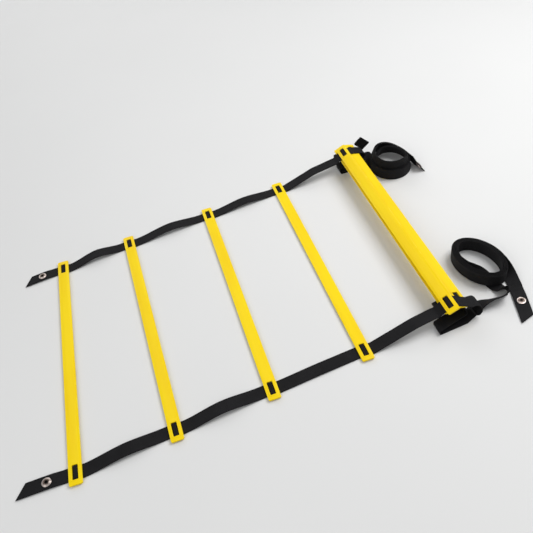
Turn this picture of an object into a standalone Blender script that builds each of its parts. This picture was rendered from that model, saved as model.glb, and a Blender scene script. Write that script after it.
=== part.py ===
"""Agility ladder: four rungs laid out on two webbing straps, four more folded into a bundle.

Every strap threads a window near each end of a rung: under the border, over the window's bar,
under the border again. Past the bundle the straps are wound into two loose coils, and each of
the four strap ends carries a press-stud socket. Metres, +Z up, the floor at z = 0.
"""

import math
from typing import NamedTuple

import bmesh
import bpy
from mathutils import Matrix, Vector

FRONT, BACK = -1, 1
SIDES = ((FRONT, "front"), (BACK, "back"))

# Webbing
WEBBING_WIDTH = 0.0200
WEBBING_THICKNESS = 0.0012
CLEARANCE = 0.0003
BEND_RADIUS = 0.0009
ARC_STEP = math.radians(30.0)
WAVE_STEPS = 6
MERGE_DISTANCE = 0.00001
SHARP_ANGLE = math.radians(35.0)

# Rungs
RUNG_LENGTH = 0.4300
RUNG_WIDTH = 0.0180
RUNG_THICKNESS = 0.0025
RUNG_CORNER_RADIUS = 0.0022
RUNG_EDGE_ROUND = 0.0004
WINDOW_LENGTH = 0.0215
WINDOW_WIDTH = 0.0080
WINDOW_CORNER_RADIUS = 0.0010
END_BORDER = 0.0073
BAR_WIDTH = 0.0025
BAR_THICKNESS = 0.0008
BAR_LIFT = 0.0001
BAR_ROOT = 0.0006
BAR_CORNER_RADIUS = 0.0003
WEAVE_LEAN = 0.00055
CUT_OVERRUN = 0.0010

# Where the laid rungs lie: middle of each from the origin, and its turn about the vertical
FIRST_RUNG_X = -0.2950
FIRST_RUNG_Y = -0.0286
BAY = 0.1400
BAY_SHARES = (0.91143, 1.02143, 0.99214)
BAY_DRIFTS = (0.0130, 0.0128, 0.0114)
RUNG_TURNS = tuple(math.radians(angle) for angle in (-1.2, 1.2, -0.1, 0.2))

# The straps' waves: height of the strap's middle at each fold line, front and back
LEAD_FOLD_SHARE = 0.523
STRAP_WAVE_HEIGHT = 0.0100
FOLD_HEIGHT_SHARES = {FRONT: (0.56, 0.75, 0.14, 1.55), BACK: (0.82, 0.78, 0.60, 1.70)}
WAVE_FOOT = 0.0032
LEAD_FOOT = 0.0035

# Left tabs: hinge line before the first window, length beyond it and drift over that length
TAB_FOLD_OFFSET = 0.0140
FRONT_TAB_LENGTH = 0.0580
BACK_TAB_LENGTH = 0.0470
FRONT_TAB_DRIFT = -0.0008
BACK_TAB_DRIFT = -0.0050
TAB_STUD_SHARE = {FRONT: 0.41, BACK: 0.475}
TIP_LEAN = 0.0138

# A strap end that lies on the floor: its rise over the stud's cap, as reach and height
END_RAMP_SHARES = ((0.15, 0.02), (0.40, 0.30), (0.75, 0.90))
END_LEVEL_SHARES = (1.15, 1.30)
END_TIP_SHARE = 0.6

# Press studs
SOCKET_RADIUS = 0.0065
SOCKET_HEIGHT = 0.0018
SOCKET_FLOOR = 0.0005
SOCKET_MOUTH_RADIUS = 0.0024
SOCKET_LIP_RADIUS = 0.0034
CAP_RADIUS = 0.0062
CAP_THICKNESS = 0.0010
POST_RADIUS = 0.0014
POST_HOLE_RADIUS = 0.0018
POST_HEAD_RADIUS = 0.0020
POST_HEAD_THICKNESS = 0.0003
SOCKET_OUTLINE_SHARES = ((0.62, 0.92), (0.68, 0.74), (0.76, 0.80), (0.90, 0.62), (1.00, 0.30), (1.00, 0.00))
SOCKET_MOUTH_SHARE = 0.85
CAP_OUTLINE_SHARES = ((0.80, 0.00), (1.00, 0.30), (1.00, 0.60), (0.80, 1.00), (0.00, 1.00))
ROUND_SIDES = 40
HOLE_SIDES = 16

# Bundle: middles of the folded rungs from the last laid one, and their drops below the top one
BUNDLE_X = 0.1310
BUNDLE_Y = 0.0081
TOP_RUNG_HEIGHT = 0.0352
TOP_RUNG_TILT = math.radians(24.0)
COVERED_RUNG_OFFSET = 0.0177
COVERED_RUNG_DRIFT = 0.0035
COVERED_RUNG_DROP = 0.0042
COVERED_RUNG_TILT = math.radians(-15.0)
UNDER_RUNG_OFFSET = -0.0001
UNDER_RUNG_DRIFT = 0.0080
UNDER_RUNG_DROP = 0.0094
UNDER_RUNG_TILT = math.radians(4.0)
LOWEST_RUNG_OFFSET = 0.0060
LOWEST_RUNG_DRIFT = 0.0120
LOWEST_RUNG_DROP = 0.0146
LOWEST_RUNG_TILT = math.radians(4.0)

# Folds of webbing in the bundle: reach and height are shares of these two sizes, sway of the third
FOLD_REACH = 0.0500
FOLD_HEIGHT = 0.0300
FRONT_LOBE_SWAY = -0.0140
BACK_LOBE_SWAY = -0.0050
FOLD_RADIUS = 0.0030
LOBE_RADIUS = 0.0110
LOBE_FOOT_RADIUS = 0.0040
TIGHT_FOLD_RADIUS = 0.0021
LOW_FOLD_RADIUS = 0.0026
LEAD_BEND_RADIUS = 0.0200
LEAD_DRIFT_SHARE = 0.2
LEAD_FOLD_SHARES = ((-1.05, 0.60, 0.0), (-0.50, 0.68, 0.0), (-0.34, 0.72, 0.0))
TOP_EXIT_SHARE = 0.385
COVERED_EXIT_SHARE = -0.31
UNDER_ENTRY_SHARE = 0.61
OVER_SWAY_SHARE = {FRONT: 0.36, BACK: -0.30}
RIGHT_FOLD_SHARES = {
    FRONT: ((0.79, 0.91, 0.36), (0.97, 0.47, 0.50), (0.79, 0.11, 0.50)),
    BACK: ((0.70, 0.955, 0.0), (0.79, 0.76, 0.0), (0.68, 0.66, 0.0)),
}
LEFT_FOLD_SHARES = {
    FRONT: ((-0.29, 0.765, -0.5), (-0.29, 0.585, -0.7)),
    BACK: ((-0.26, 0.765, -1.4), (-0.26, 0.585, -2.0)),
}
INNER_FOLD_SHARES = {
    FRONT: ((0.50, 0.58, -0.4), (0.53, 0.34, 0.1)),
    BACK: ((0.43, 0.57, -1.6), (0.44, 0.34, -0.8)),
}
FLOOR_FOLD_SHARES = {
    FRONT: ((-0.45, 0.29, 1.0), (-0.45, 0.02, 1.0)),
    BACK: ((-0.25, 0.28, 0.2), (-0.25, 0.02, 1.0)),
}
EXIT_SHARES = {
    FRONT: ((0.45, 0.02, 0.7), (0.95, 0.02, -0.1)),
    BACK: ((0.36, 0.02, 1.0), (0.62, 0.38, 0.9)),
}

# Coils: their middles are given from the top rung's middle
COIL_PITCH = 0.00178
COIL_POINTS_PER_TURN = 24
FRONT_COIL_TURNS = 4.5
FRONT_COIL_PLACE = (0.0905, -0.1253)
FRONT_COIL_HALF_WIDTH = 0.0329
FRONT_COIL_HALF_LENGTH = 0.0494
FRONT_COIL_LEAN = math.radians(14.0)
FRONT_COIL_SLACK = 0.0010
FRONT_COIL_NEAR_LIFT = 0.0027
FRONT_COIL_END_ANGLE = math.radians(-25.0)
BACK_COIL_PLACE = (0.0775, 0.1617)
BACK_COIL_RADIUS = 0.0356
BACK_COIL_TURNS = 1.75
BACK_COIL_RISE = 0.0140
BACK_COIL_RISE_START = 0.5
BACK_COIL_RISE_TURNS = 0.7
BACK_COIL_FOLD_RADIUS = 0.0020
BACK_COIL_FOLD_SWEEP = math.radians(225.0)
BACK_COIL_FOLD_STEPS = 4
FRONT_TAIL_LENGTH = 0.0620
BACK_TAIL_LENGTH = 0.0300
TAIL_STUD_SHARE = {FRONT: 0.475, BACK: 0.50}
TAIL_TURN = {FRONT: math.radians(-106.6), BACK: math.radians(-80.5)}
BACK_TAIL_REACH = 0.0140
BACK_TAIL_GAP = 0.0006

# Free stretches beside the coils: places as shares of the webbing's width, and lean in degrees
FRONT_LINK_SHARES = (
    (-2.20, -1.07, 0.22, -25),
    (-1.60, -1.15, 0.38, -45),
    (-0.96, -1.20, 0.42, -50),
    (-0.46, -1.15, 0.46, -62),
    (-0.19, -0.92, 0.44, -92),
    (-0.24, -0.65, 0.25, -130),
    (-0.34, -0.38, 0.075, -165),
    (-0.46, -0.03, 0.03, -178),
    (-0.59, 0.48, 0.03, -180),
    (-0.71, 0.99, 0.09, -187),
    (-0.96, 1.40, 0.295, -215),
    (-1.28, 1.80, 0.465, -245),
    (-1.59, 2.33, 0.52, -262),
)
FRONT_TWIST_SHARES = (
    (0.0, -0.45, 0.46, 68),
    (0.0, -0.97, 0.31, 42),
    (-0.12, -1.54, 0.13, 16),
)
FRONT_TAIL_SHARES = (-0.34, -2.20)
BACK_LINK_SHARES = (
    (-0.32, 1.42, 0.77, 15),
    (-0.08, 1.22, 0.86, 42),
    (-0.01, 0.75, 0.74, 72),
    (0.0, 0.32, 0.58, 87),
)
SMOOTH_STEPS = 4
JOIN_SHARE = 1.5

# How far apart along a strap two places lie before the gap between them is measured
BUNDLE_SPAN_SHARE = 0.4
FRONT_COIL_SPAN_SHARE = 1.0
BACK_COIL_SPAN_SHARE = 0.6

YELLOW = (0.93, 0.72, 0.02)
CHARCOAL = (0.022, 0.022, 0.025)
NICKEL = (0.72, 0.70, 0.67)

HALF_WIDTH = WEBBING_WIDTH / 2
HALF_THICKNESS = WEBBING_THICKNESS / 2
TAB_WAY = {FRONT: (-FRONT_TAB_LENGTH, FRONT_TAB_DRIFT, 0), BACK: (-BACK_TAB_LENGTH, BACK_TAB_DRIFT, 0)}
LOBE_SWAY = {FRONT: FRONT_LOBE_SWAY, BACK: BACK_LOBE_SWAY}
WINDOW_OFFSET = RUNG_LENGTH / 2 - END_BORDER - WINDOW_LENGTH / 2
SLOT_MIDDLE = (BAR_WIDTH + WINDOW_WIDTH) / 4
RUNG_UNDER = -(RUNG_THICKNESS / 2 + CLEARANCE + HALF_THICKNESS)
RUNG_OVER = -RUNG_UNDER
BAR_OVER = -RUNG_THICKNESS / 2 + BAR_LIFT + BAR_THICKNESS + CLEARANCE + HALF_THICKNESS
LAID_RUNG_HEIGHT = HALF_THICKNESS - RUNG_UNDER


class Rung(NamedTuple):
    """A rung's place: its middle, its turn about the vertical and its right edge's rise."""

    name: str
    middle: Vector
    turn: float
    tilt: float

    def matrix(self) -> Matrix:
        """World matrix, with local X across the rung, Y along it and Z out of its top."""
        turned = Matrix.Rotation(self.turn, 4, "Z") @ Matrix.Rotation(-self.tilt, 4, "Y")
        return Matrix.Translation(self.middle) @ turned

    def at(self, across: float, along: float, up: float) -> Vector:
        """World place of a point given in the rung's own axes."""
        return self.matrix() @ Vector((across, along, up))

    def window(self, side: int) -> Vector:
        """Middle of the window at this end."""
        return self.at(0, side * WINDOW_OFFSET, 0)

    def axis(self) -> Vector:
        """Direction along the rung."""
        return self.matrix().to_3x3() @ Vector((0, 1, 0))


class Corner(NamedTuple):
    """A bend of a strap: its place, the direction across the strap there and its radius."""

    place: Vector
    across: Vector
    radius: float


class Station(NamedTuple):
    """A cross-section of a strap: its middle and the direction across the strap."""

    place: Vector
    across: Vector


def fresh_scene():
    """Removes what the scene holds and makes the ladder's two collections."""
    for item in list(bpy.data.objects):
        bpy.data.objects.remove(item, do_unlink=True)
    parts = bpy.data.collections.new("agility_ladder")
    cutters = bpy.data.collections.new("cutters")
    cutters.hide_render = True
    for collection in (parts, cutters):
        bpy.context.scene.collection.children.link(collection)
    return parts, cutters


def finish(name, colour, roughness, metallic=0.0):
    """A plain Principled BSDF material."""
    material = bpy.data.materials.new(name)
    material.use_nodes = True
    shader = material.node_tree.nodes["Principled BSDF"]
    shader.inputs["Base Color"].default_value = (*colour, 1.0)
    shader.inputs["Roughness"].default_value = roughness
    shader.inputs["Metallic"].default_value = metallic
    material.diffuse_color = (*colour, 1.0)
    return material


def object_from(mesh_maker, name, collection):
    """A new mesh object in a collection, from a bmesh that is then freed."""
    mesh = bpy.data.meshes.new(name)
    mesh_maker.to_mesh(mesh)
    mesh_maker.free()
    made = bpy.data.objects.new(name, mesh)
    collection.objects.link(made)
    return made


def combine(target, other, operation):
    """Cuts one object out of another, or joins it on, with a Boolean."""
    step = target.modifiers.new(other.name, "BOOLEAN")
    step.operation = operation
    step.solver = "EXACT"
    step.object = other


def shade(made):
    """Smooth shading with sharp edges kept."""
    made.data.shade_smooth()
    made.data.set_sharp_from_angle(angle=SHARP_ANGLE)


def box(size, corner_radius, edge_round, place=(0, 0, 0)):
    """A block with its upright corners rounded and then all its edges eased."""
    made = bmesh.new()
    bmesh.ops.create_cube(made, size=1.0)
    bmesh.ops.scale(made, verts=made.verts, vec=size)
    upright = [edge for edge in made.edges if abs(edge.verts[0].co.z - edge.verts[1].co.z) > size[2] / 2]
    bmesh.ops.bevel(
        made, geom=upright, offset=corner_radius, segments=4, profile=0.5, affect="EDGES", clamp_overlap=True
    )
    if edge_round:
        rims = [edge for edge in made.edges if edge.verts[0].co.z * edge.verts[1].co.z > 0]
        flat = [edge for edge in rims if any(abs(face.normal.z) < 0.5 for face in edge.link_faces)]
        bmesh.ops.bevel(
            made, geom=flat, offset=edge_round, segments=2, profile=0.5, affect="EDGES", clamp_overlap=True
        )
    bmesh.ops.translate(made, verts=made.verts, vec=place)
    return made


def window_makers(collection):
    """What makes the windows: a cutter at each end, and the bar that crosses the opening lengthwise."""
    openings, bars = [], []
    through = RUNG_THICKNESS + 2 * CUT_OVERRUN
    bar_up = BAR_LIFT + (BAR_THICKNESS - RUNG_THICKNESS) / 2
    for side, label in SIDES:
        along = side * WINDOW_OFFSET
        opening = box((WINDOW_WIDTH, WINDOW_LENGTH, through), WINDOW_CORNER_RADIUS, 0, (0, along, 0))
        openings.append(object_from(opening, f"window_cutter_{label}", collection))
        bar_length = WINDOW_LENGTH + 2 * BAR_ROOT
        bar = box((BAR_WIDTH, bar_length, BAR_THICKNESS), BAR_CORNER_RADIUS, 0, (0, along, bar_up))
        bars.append(object_from(bar, f"window_bar_{label}", collection))
    for maker in openings + bars:
        maker.hide_render = True
        maker.display_type = "WIRE"
    return openings, bars


def rung_pattern(openings, bars, collection, material):
    """The flat bar that every rung copies: a window at each end, crossed lengthwise by a thin bar."""
    blank = box((RUNG_WIDTH, RUNG_LENGTH, RUNG_THICKNESS), RUNG_CORNER_RADIUS, RUNG_EDGE_ROUND)
    pattern = object_from(blank, "rung_pattern", collection)
    for opening in openings:
        combine(pattern, opening, "DIFFERENCE")
    for bar in bars:
        combine(pattern, bar, "UNION")
    pattern.data.materials.append(material)
    pattern.hide_render = True
    pattern.display_type = "WIRE"
    bpy.context.view_layer.update()
    cut = pattern.evaluated_get(bpy.context.evaluated_depsgraph_get())
    return bpy.data.meshes.new_from_object(cut)


def place_rung(rung, pattern, collection):
    """A rung of its own mesh, copied from the pattern."""
    made = bpy.data.objects.new(rung.name, pattern.copy())
    collection.objects.link(made)
    made.matrix_world = rung.matrix()
    shade(made)
    return made


def bend_points(before, corner, after):
    """The stations of one rounded corner, as an arc between its two straight runs."""
    start = (before.place - corner.place).normalized()
    end = (after.place - corner.place).normalized()
    turn = math.pi - start.angle(end)
    if corner.radius == 0 or turn < ARC_STEP / 4:
        return [Station(corner.place, corner.across)]
    reach = corner.radius * math.tan(turn / 2)
    inward = (start + end).normalized()
    centre = corner.place + inward * (corner.radius / math.cos(turn / 2))
    steps = max(2, math.ceil(turn / ARC_STEP))
    first = corner.place + start * reach - centre
    normal = first.cross(corner.place + end * reach - centre).normalized()
    stations = []
    for step in range(steps + 1):
        arm = Matrix.Rotation(turn * step / steps, 3, normal) @ first
        stations.append(Station(centre + arm, corner.across))
    return stations


def rounded(corners):
    """The stations along straight runs joined by arcs."""
    stations = [Station(corners[0].place, corners[0].across)]
    for before, corner, after in zip(corners, corners[1:], corners[2:]):
        stations += bend_points(before, corner, after)
    stations.append(Station(corners[-1].place, corners[-1].across))
    return stations


def smooth_between(stations, steps):
    """Stations along a smooth curve through the given ones."""
    ends = [stations[0]] + list(stations) + [stations[-1]]
    found = []
    for a, b, c, d in zip(ends, ends[1:], ends[2:], ends[3:]):
        for step in range(steps):
            t = step / steps
            weights = (
                (-t + 2 * t**2 - t**3) / 2,
                (2 - 5 * t**2 + 3 * t**3) / 2,
                (t + 4 * t**2 - 3 * t**3) / 2,
                (t**3 - t**2) / 2,
            )
            place = sum((w * s.place for w, s in zip(weights, (a, b, c, d))), Vector())
            across = b.across.lerp(c.across, t).normalized()
            found.append(Station(place, across))
    found.append(stations[-1])
    return found


def make_strap(name, stations, collection, material, tip=0.0):
    """Webbing along its stations: one edge's chain drawn across the width, then thickened."""
    heading = (stations[-1].place - stations[-2].place).normalized()
    made = bmesh.new()
    chain = []
    for index, station in enumerate(stations):
        lean = -heading * tip / 2 if index == len(stations) - 1 else Vector()
        chain.append(made.verts.new(station.place - station.across * HALF_WIDTH - lean))
    edges = [made.edges.new(pair) for pair in zip(chain, chain[1:])]
    drawn = bmesh.ops.extrude_edge_only(made, edges=edges)["geom"]
    order = {vert: index for index, vert in enumerate(chain)}
    for vert in (item for item in drawn if isinstance(item, bmesh.types.BMVert)):
        index = next(order[e.other_vert(vert)] for e in vert.link_edges if e.other_vert(vert) in order)
        vert.co += stations[index].across * WEBBING_WIDTH
        if index == len(stations) - 1:
            vert.co -= heading * tip
    bmesh.ops.recalc_face_normals(made, faces=made.faces)
    strap = object_from(made, name, collection)
    body = strap.modifiers.new("thickness", "SOLIDIFY")
    body.thickness = WEBBING_THICKNESS
    body.offset = 0.0
    body.use_even_offset = True
    strap.data.materials.append(material)
    shade(strap)
    return strap


def weave(rung, side, hand):
    """The four bends of a strap over a window's bar, from the side of the rung that hand names."""
    along = side * WINDOW_OFFSET
    across = rung.axis()
    outer, inner = SLOT_MIDDLE + WEAVE_LEAN, SLOT_MIDDLE - WEAVE_LEAN
    steps = ((-outer, RUNG_UNDER), (-inner, BAR_OVER), (inner, BAR_OVER), (outer, RUNG_UNDER))
    return [Corner(rung.at(hand * x, along, up), across, BEND_RADIUS) for x, up in steps]


def wave(start, end, steps=WAVE_STEPS):
    """Stations from one place to another, level at both ends."""
    across = Vector((0, 1, 0))
    found = []
    for step in range(1, steps):
        t = step / steps
        place = start.lerp(end, t)
        place.z = start.z + (end.z - start.z) * t * t * (3 - 2 * t)
        found.append(Corner(place, across, 0.0))
    return found


def laid_rungs():
    """The four rungs on the floor, left to right."""
    rungs = []
    x, y = FIRST_RUNG_X, FIRST_RUNG_Y
    for index, turn in enumerate(RUNG_TURNS):
        rungs.append(Rung(f"rung_{index + 1}", Vector((x, y, LAID_RUNG_HEIGHT)), turn, 0.0))
        if index < len(BAY_SHARES):
            x += BAY * BAY_SHARES[index]
            y += BAY_DRIFTS[index]
    return rungs


def bundle_rungs(last_laid):
    """The four rungs of the bundle: the top one, the covered one, the one under it and the lowest."""
    top = last_laid.middle + Vector((BUNDLE_X, BUNDLE_Y, 0))
    top.z = TOP_RUNG_HEIGHT
    places = (
        (0, 0, 0, TOP_RUNG_TILT),
        (COVERED_RUNG_OFFSET, COVERED_RUNG_DRIFT, COVERED_RUNG_DROP, COVERED_RUNG_TILT),
        (UNDER_RUNG_OFFSET, UNDER_RUNG_DRIFT, UNDER_RUNG_DROP, UNDER_RUNG_TILT),
        (LOWEST_RUNG_OFFSET, LOWEST_RUNG_DRIFT, LOWEST_RUNG_DROP, LOWEST_RUNG_TILT),
    )
    return [
        Rung(f"rung_{number}", top + Vector((offset, drift, -drop)), 0.0, tilt)
        for number, (offset, drift, drop, tilt) in enumerate(places, start=len(BAY_SHARES) + 2)
    ]


def fold_place(side, index, rungs):
    """Where the strap crosses a fold line: half-way between two rungs, or on the lead."""
    height = FOLD_HEIGHT_SHARES[side][index] * STRAP_WAVE_HEIGHT
    before = rungs[index].window(side)
    if index + 1 == len(rungs):
        way = Vector((BUNDLE_X, BUNDLE_Y, 0)) * LEAD_FOLD_SHARE
        return Vector((rungs[index].middle.x + way.x, before.y + way.y, height))
    after = rungs[index + 1].window(side)
    x = (rungs[index].middle.x + rungs[index + 1].middle.x) / 2
    return Vector((x, (before.y + after.y) / 2, height))


def tab_fold(side, first):
    """The hinge line of the left tab."""
    window = first.window(side)
    return Vector((window.x - TAB_FOLD_OFFSET, window.y, HALF_THICKNESS))


def section_corners(side, index, rungs):
    """The bends of the strap section that one laid rung is threaded on."""
    rung = rungs[index]
    along = side * WINDOW_OFFSET
    across = Vector((0, 1, 0))
    half = RUNG_WIDTH / 2
    gap = Vector((CLEARANCE / 2, 0, 0))
    left_edge = Corner(rung.at(-half - CLEARANCE, along, RUNG_UNDER), rung.axis(), 0.0)
    right_edge = Corner(rung.at(half + CLEARANCE, along, RUNG_UNDER), rung.axis(), 0.0)
    if index == 0:
        left = [Corner(tab_fold(side, rung) + gap, across, 0.0)]
    else:
        start = fold_place(side, index - 1, rungs) + gap
        foot = rung.at(-half - WAVE_FOOT, along, RUNG_UNDER)
        left = [Corner(start, across, 0.0)] + wave(start, foot) + [Corner(foot, across, 0.0)]
    end = fold_place(side, index, rungs) - gap
    if index + 1 == len(rungs):
        foot = rung.at(half + LEAD_FOOT, along, RUNG_UNDER)
        right = [Corner(foot, across, LEAD_BEND_RADIUS / 2), Corner(end, across, 0.0)]
    else:
        foot = rung.at(half + WAVE_FOOT, along, RUNG_UNDER)
        right = [Corner(foot, across, 0.0)] + wave(foot, end) + [Corner(end, across, 0.0)]
    return left + [left_edge] + weave(rung, side, 1) + [right_edge] + right


def bundle_corners(side, laid, folded):
    """The bends of the strap through the bundle, from the lead's fold line to the coil's link."""
    top, covered, under, lowest = folded
    across = Vector((0, 1, 0))
    along = side * WINDOW_OFFSET
    origin = top.window(side)
    half = RUNG_WIDTH / 2

    def free(shares, radius):
        """A bend that lies free, at shares of the folds' reach, height and sway."""
        reach_share, height_share, sway_share = shares
        place = Vector((origin.x + reach_share * FOLD_REACH, origin.y, height_share * FOLD_HEIGHT))
        place.y += sway_share * LOBE_SWAY[side]
        return Corner(place, across, radius)

    def folds(table, *radii):
        """The bends of one fold, with their radii."""
        return [free(shares, radius) for shares, radius in zip(table, radii)]

    def beneath(rung, share, radius):
        """A bend under a rung's border, this share of its width from its middle."""
        return [Corner(rung.at(share * RUNG_WIDTH, along, RUNG_UNDER), across, radius)]

    lead = fold_place(side, len(laid) - 1, laid) + Vector((CLEARANCE / 2, 0, 0))
    lead_bends = folds(LEAD_FOLD_SHARES, LEAD_BEND_RADIUS, LEAD_BEND_RADIUS / 2, FOLD_RADIUS)
    lead_bends[0].place.y = lead.y + (origin.y - lead.y) * LEAD_DRIFT_SHARE
    over = covered.at(half, along, RUNG_OVER)
    over.y = origin.y + OVER_SWAY_SHARE[side] * LOBE_SWAY[side]
    right_radii = (
        (LOBE_RADIUS, LOBE_RADIUS, LOBE_FOOT_RADIUS)
        if side == FRONT
        else (FOLD_RADIUS, FOLD_RADIUS / 2, FOLD_RADIUS / 2)
    )
    return (
        [Corner(lead, across, 0.0)]
        + lead_bends
        + beneath(top, -0.5, FOLD_RADIUS)
        + weave(top, side, 1)
        + beneath(top, TOP_EXIT_SHARE, FOLD_RADIUS)
        + [Corner(over, across, 0.0)]
        + folds(RIGHT_FOLD_SHARES[side], *right_radii)
        + [Corner(covered.at(half + CLEARANCE, along, RUNG_UNDER), across, BEND_RADIUS * 2)]
        + weave(covered, side, -1)
        + beneath(covered, COVERED_EXIT_SHARE, BEND_RADIUS)
        + beneath(under, UNDER_ENTRY_SHARE, BEND_RADIUS)
        + weave(under, side, -1)
        + beneath(under, -0.5, TIGHT_FOLD_RADIUS)
        + folds(LEFT_FOLD_SHARES[side], TIGHT_FOLD_RADIUS, TIGHT_FOLD_RADIUS)
        + beneath(lowest, -0.5, TIGHT_FOLD_RADIUS)
        + weave(lowest, side, 1)
        + beneath(lowest, 0.5, TIGHT_FOLD_RADIUS)
        + folds(INNER_FOLD_SHARES[side], LOW_FOLD_RADIUS, LOW_FOLD_RADIUS)
        + folds(FLOOR_FOLD_SHARES[side], LOW_FOLD_RADIUS, LOW_FOLD_RADIUS)
        + folds(EXIT_SHARES[side], FOLD_RADIUS, 0.0)
    )


def least_gap(stations, apart):
    """Least gap between the thicknesses of two stretches that lie a given length of strap apart."""
    best = math.inf
    lengths = [0.0]
    for before, after in zip(stations, stations[1:]):
        lengths.append(lengths[-1] + (after.place - before.place).length)
    for i, first in enumerate(stations):
        for j in range(i + 1, len(stations)):
            if lengths[j] - lengths[i] > apart:
                best = min(best, (stations[j].place - first.place).length)
    return best - WEBBING_THICKNESS


def front_coil_place(turn, centre):
    """Middle of the front coil's strap after this many turns from its inner end, clockwise."""
    inward = FRONT_COIL_TURNS - turn
    angle = FRONT_COIL_END_ANGLE + 2 * math.pi * inward
    loose = FRONT_COIL_SLACK * inward * (1 - math.cos(angle - math.pi / 4)) / 2
    half_width = FRONT_COIL_HALF_WIDTH - inward * COIL_PITCH - loose
    half_length = FRONT_COIL_HALF_LENGTH - inward * COIL_PITCH - loose
    local = Vector((half_width * math.cos(angle), half_length * math.sin(angle), 0))
    local.rotate(Matrix.Rotation(FRONT_COIL_LEAN, 3, "Z"))
    near = (FRONT_COIL_HALF_LENGTH - local.y) / (2 * FRONT_COIL_HALF_LENGTH)
    height = HALF_WIDTH + FRONT_COIL_NEAR_LIFT * near
    return Vector((centre.x, centre.y, height)) + local


def front_coil_stations(centre):
    """The wound stretch of the front strap, standing on edge."""
    count = round(FRONT_COIL_TURNS * COIL_POINTS_PER_TURN)
    up = Vector((0, 0, 1))
    return [Station(front_coil_place(i * FRONT_COIL_TURNS / count, centre), up) for i in range(count + 1)]


def back_coil_place(turn, strand, centre):
    """Middle of the back coil's doubled strap: strand 0 winds inward, strand 1 beside it."""
    angle = math.pi + 2 * math.pi * turn
    radius = BACK_COIL_RADIUS - 2 * COIL_PITCH * turn - strand * COIL_PITCH
    inward = min(max((turn - BACK_COIL_RISE_START) / BACK_COIL_RISE_TURNS, 0.0), 1.0)
    height = HALF_WIDTH + BACK_COIL_RISE * inward * inward * (3 - 2 * inward)
    return Vector((centre.x + radius * math.cos(angle), centre.y + radius * math.sin(angle), height))


def back_coil_stations(centre):
    """The wound stretch of the back strap: inward, round a small fold, and out beside itself."""
    up = Vector((0, 0, 1))
    count = round(BACK_COIL_TURNS * COIL_POINTS_PER_TURN)
    last = -COIL_POINTS_PER_TURN // 2
    inward = [back_coil_place(i / COIL_POINTS_PER_TURN, 0, centre) for i in range(count + 1)]
    outward = [back_coil_place(i / COIL_POINTS_PER_TURN, 1, centre) for i in range(count, last - 1, -1)]
    heading = (inward[-1] - inward[-2]).normalized()
    side = (outward[0] - inward[-1]).normalized()
    middle = (inward[-1] + outward[0]) / 2 + heading * BACK_COIL_FOLD_RADIUS * 2
    fold = []
    for step in range(BACK_COIL_FOLD_STEPS + 1):
        angle = BACK_COIL_FOLD_SWEEP * (step / BACK_COIL_FOLD_STEPS - 0.5)
        arm = heading * math.cos(angle) + side * math.sin(angle)
        fold.append(middle + arm * BACK_COIL_FOLD_RADIUS)
    return [Station(place, up) for place in inward + fold + outward]


def leaning(heading, lean):
    """Direction across a strap that leans by this angle from flat, seen along its heading."""
    side = Vector((-heading.y, heading.x, 0)).normalized()
    return side * math.cos(lean) + Vector((0, 0, 1)) * math.sin(lean)


def on_floor(station):
    """The same station, raised where the webbing would reach below the floor."""
    dip = HALF_WIDTH * abs(station.across.z) + HALF_THICKNESS * math.sqrt(max(0, 1 - station.across.z**2))
    place = station.place.copy()
    place.z = max(place.z, dip)
    return Station(place, station.across)


def led_stations(table, origin, start, end):
    """Smooth stations through a table of places, given as shares of the webbing's width."""
    places = [start.place]
    leans = []
    for x_share, y_share, z_share, lean in table:
        places.append(origin + Vector((x_share, y_share, z_share)) * WEBBING_WIDTH)
        leans.append(math.radians(lean))
    places.append(end.place)
    stations = [start]
    for index, lean in enumerate(leans, start=1):
        heading = places[index + 1] - places[index - 1]
        stations.append(Station(places[index], leaning(heading, lean)))
    stations.append(end)
    return [on_floor(station) for station in smooth_between(stations, SMOOTH_STEPS)]


def framed(place, heading, across):
    """World matrix at a place on a strap: X along the strap, Y across it, Z out of its upper face."""
    axes = Matrix((heading, across, heading.cross(across))).transposed().to_4x4()
    return Matrix.Translation(place) @ axes


def turned(name, profile, matrix, collection, material, on_axis):
    """A turned piece: a half outline, run down its outer side, swept once round its axis."""
    made = bmesh.new()
    verts = [made.verts.new((radius, 0, height)) for radius, height in profile]
    pairs = list(zip(verts, verts[1:]))
    if not on_axis:
        pairs.append((verts[-1], verts[0]))
    for pair in pairs:
        made.edges.new(pair)
    piece = object_from(made, name, collection)
    sweep = piece.modifiers.new("turn", "SCREW")
    sweep.steps = sweep.render_steps = ROUND_SIDES
    sweep.use_merge_vertices = True
    sweep.merge_threshold = MERGE_DISTANCE
    piece.data.materials.append(material)
    piece.matrix_world = matrix
    return piece


def socket_outline():
    """The socket's half outline: a domed rim with a groove, round a mouth that is open at the top."""
    outer = [(r * SOCKET_RADIUS, h * SOCKET_HEIGHT) for r, h in SOCKET_OUTLINE_SHARES]
    mouth = [
        (POST_HOLE_RADIUS, 0),
        (POST_HOLE_RADIUS, SOCKET_FLOOR),
        (SOCKET_MOUTH_RADIUS, SOCKET_FLOOR),
        (SOCKET_MOUTH_RADIUS, SOCKET_MOUTH_SHARE * SOCKET_HEIGHT),
        ((SOCKET_MOUTH_RADIUS + SOCKET_LIP_RADIUS) / 2, SOCKET_HEIGHT),
    ]
    return [(SOCKET_LIP_RADIUS, SOCKET_HEIGHT)] + outer + mouth


def cap_outline(under):
    """The cap's half outline, its face this far below the strap's middle, with the clenched post."""
    seat = under + SOCKET_FLOOR + CLEARANCE
    head = seat + POST_HEAD_THICKNESS
    post = [(0, head), (POST_HEAD_RADIUS, head), (POST_HEAD_RADIUS, seat), (POST_RADIUS, seat)]
    return post + [(POST_RADIUS, -under)] + [(r * CAP_RADIUS, -under - h * CAP_THICKNESS) for r, h in CAP_OUTLINE_SHARES]


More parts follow.
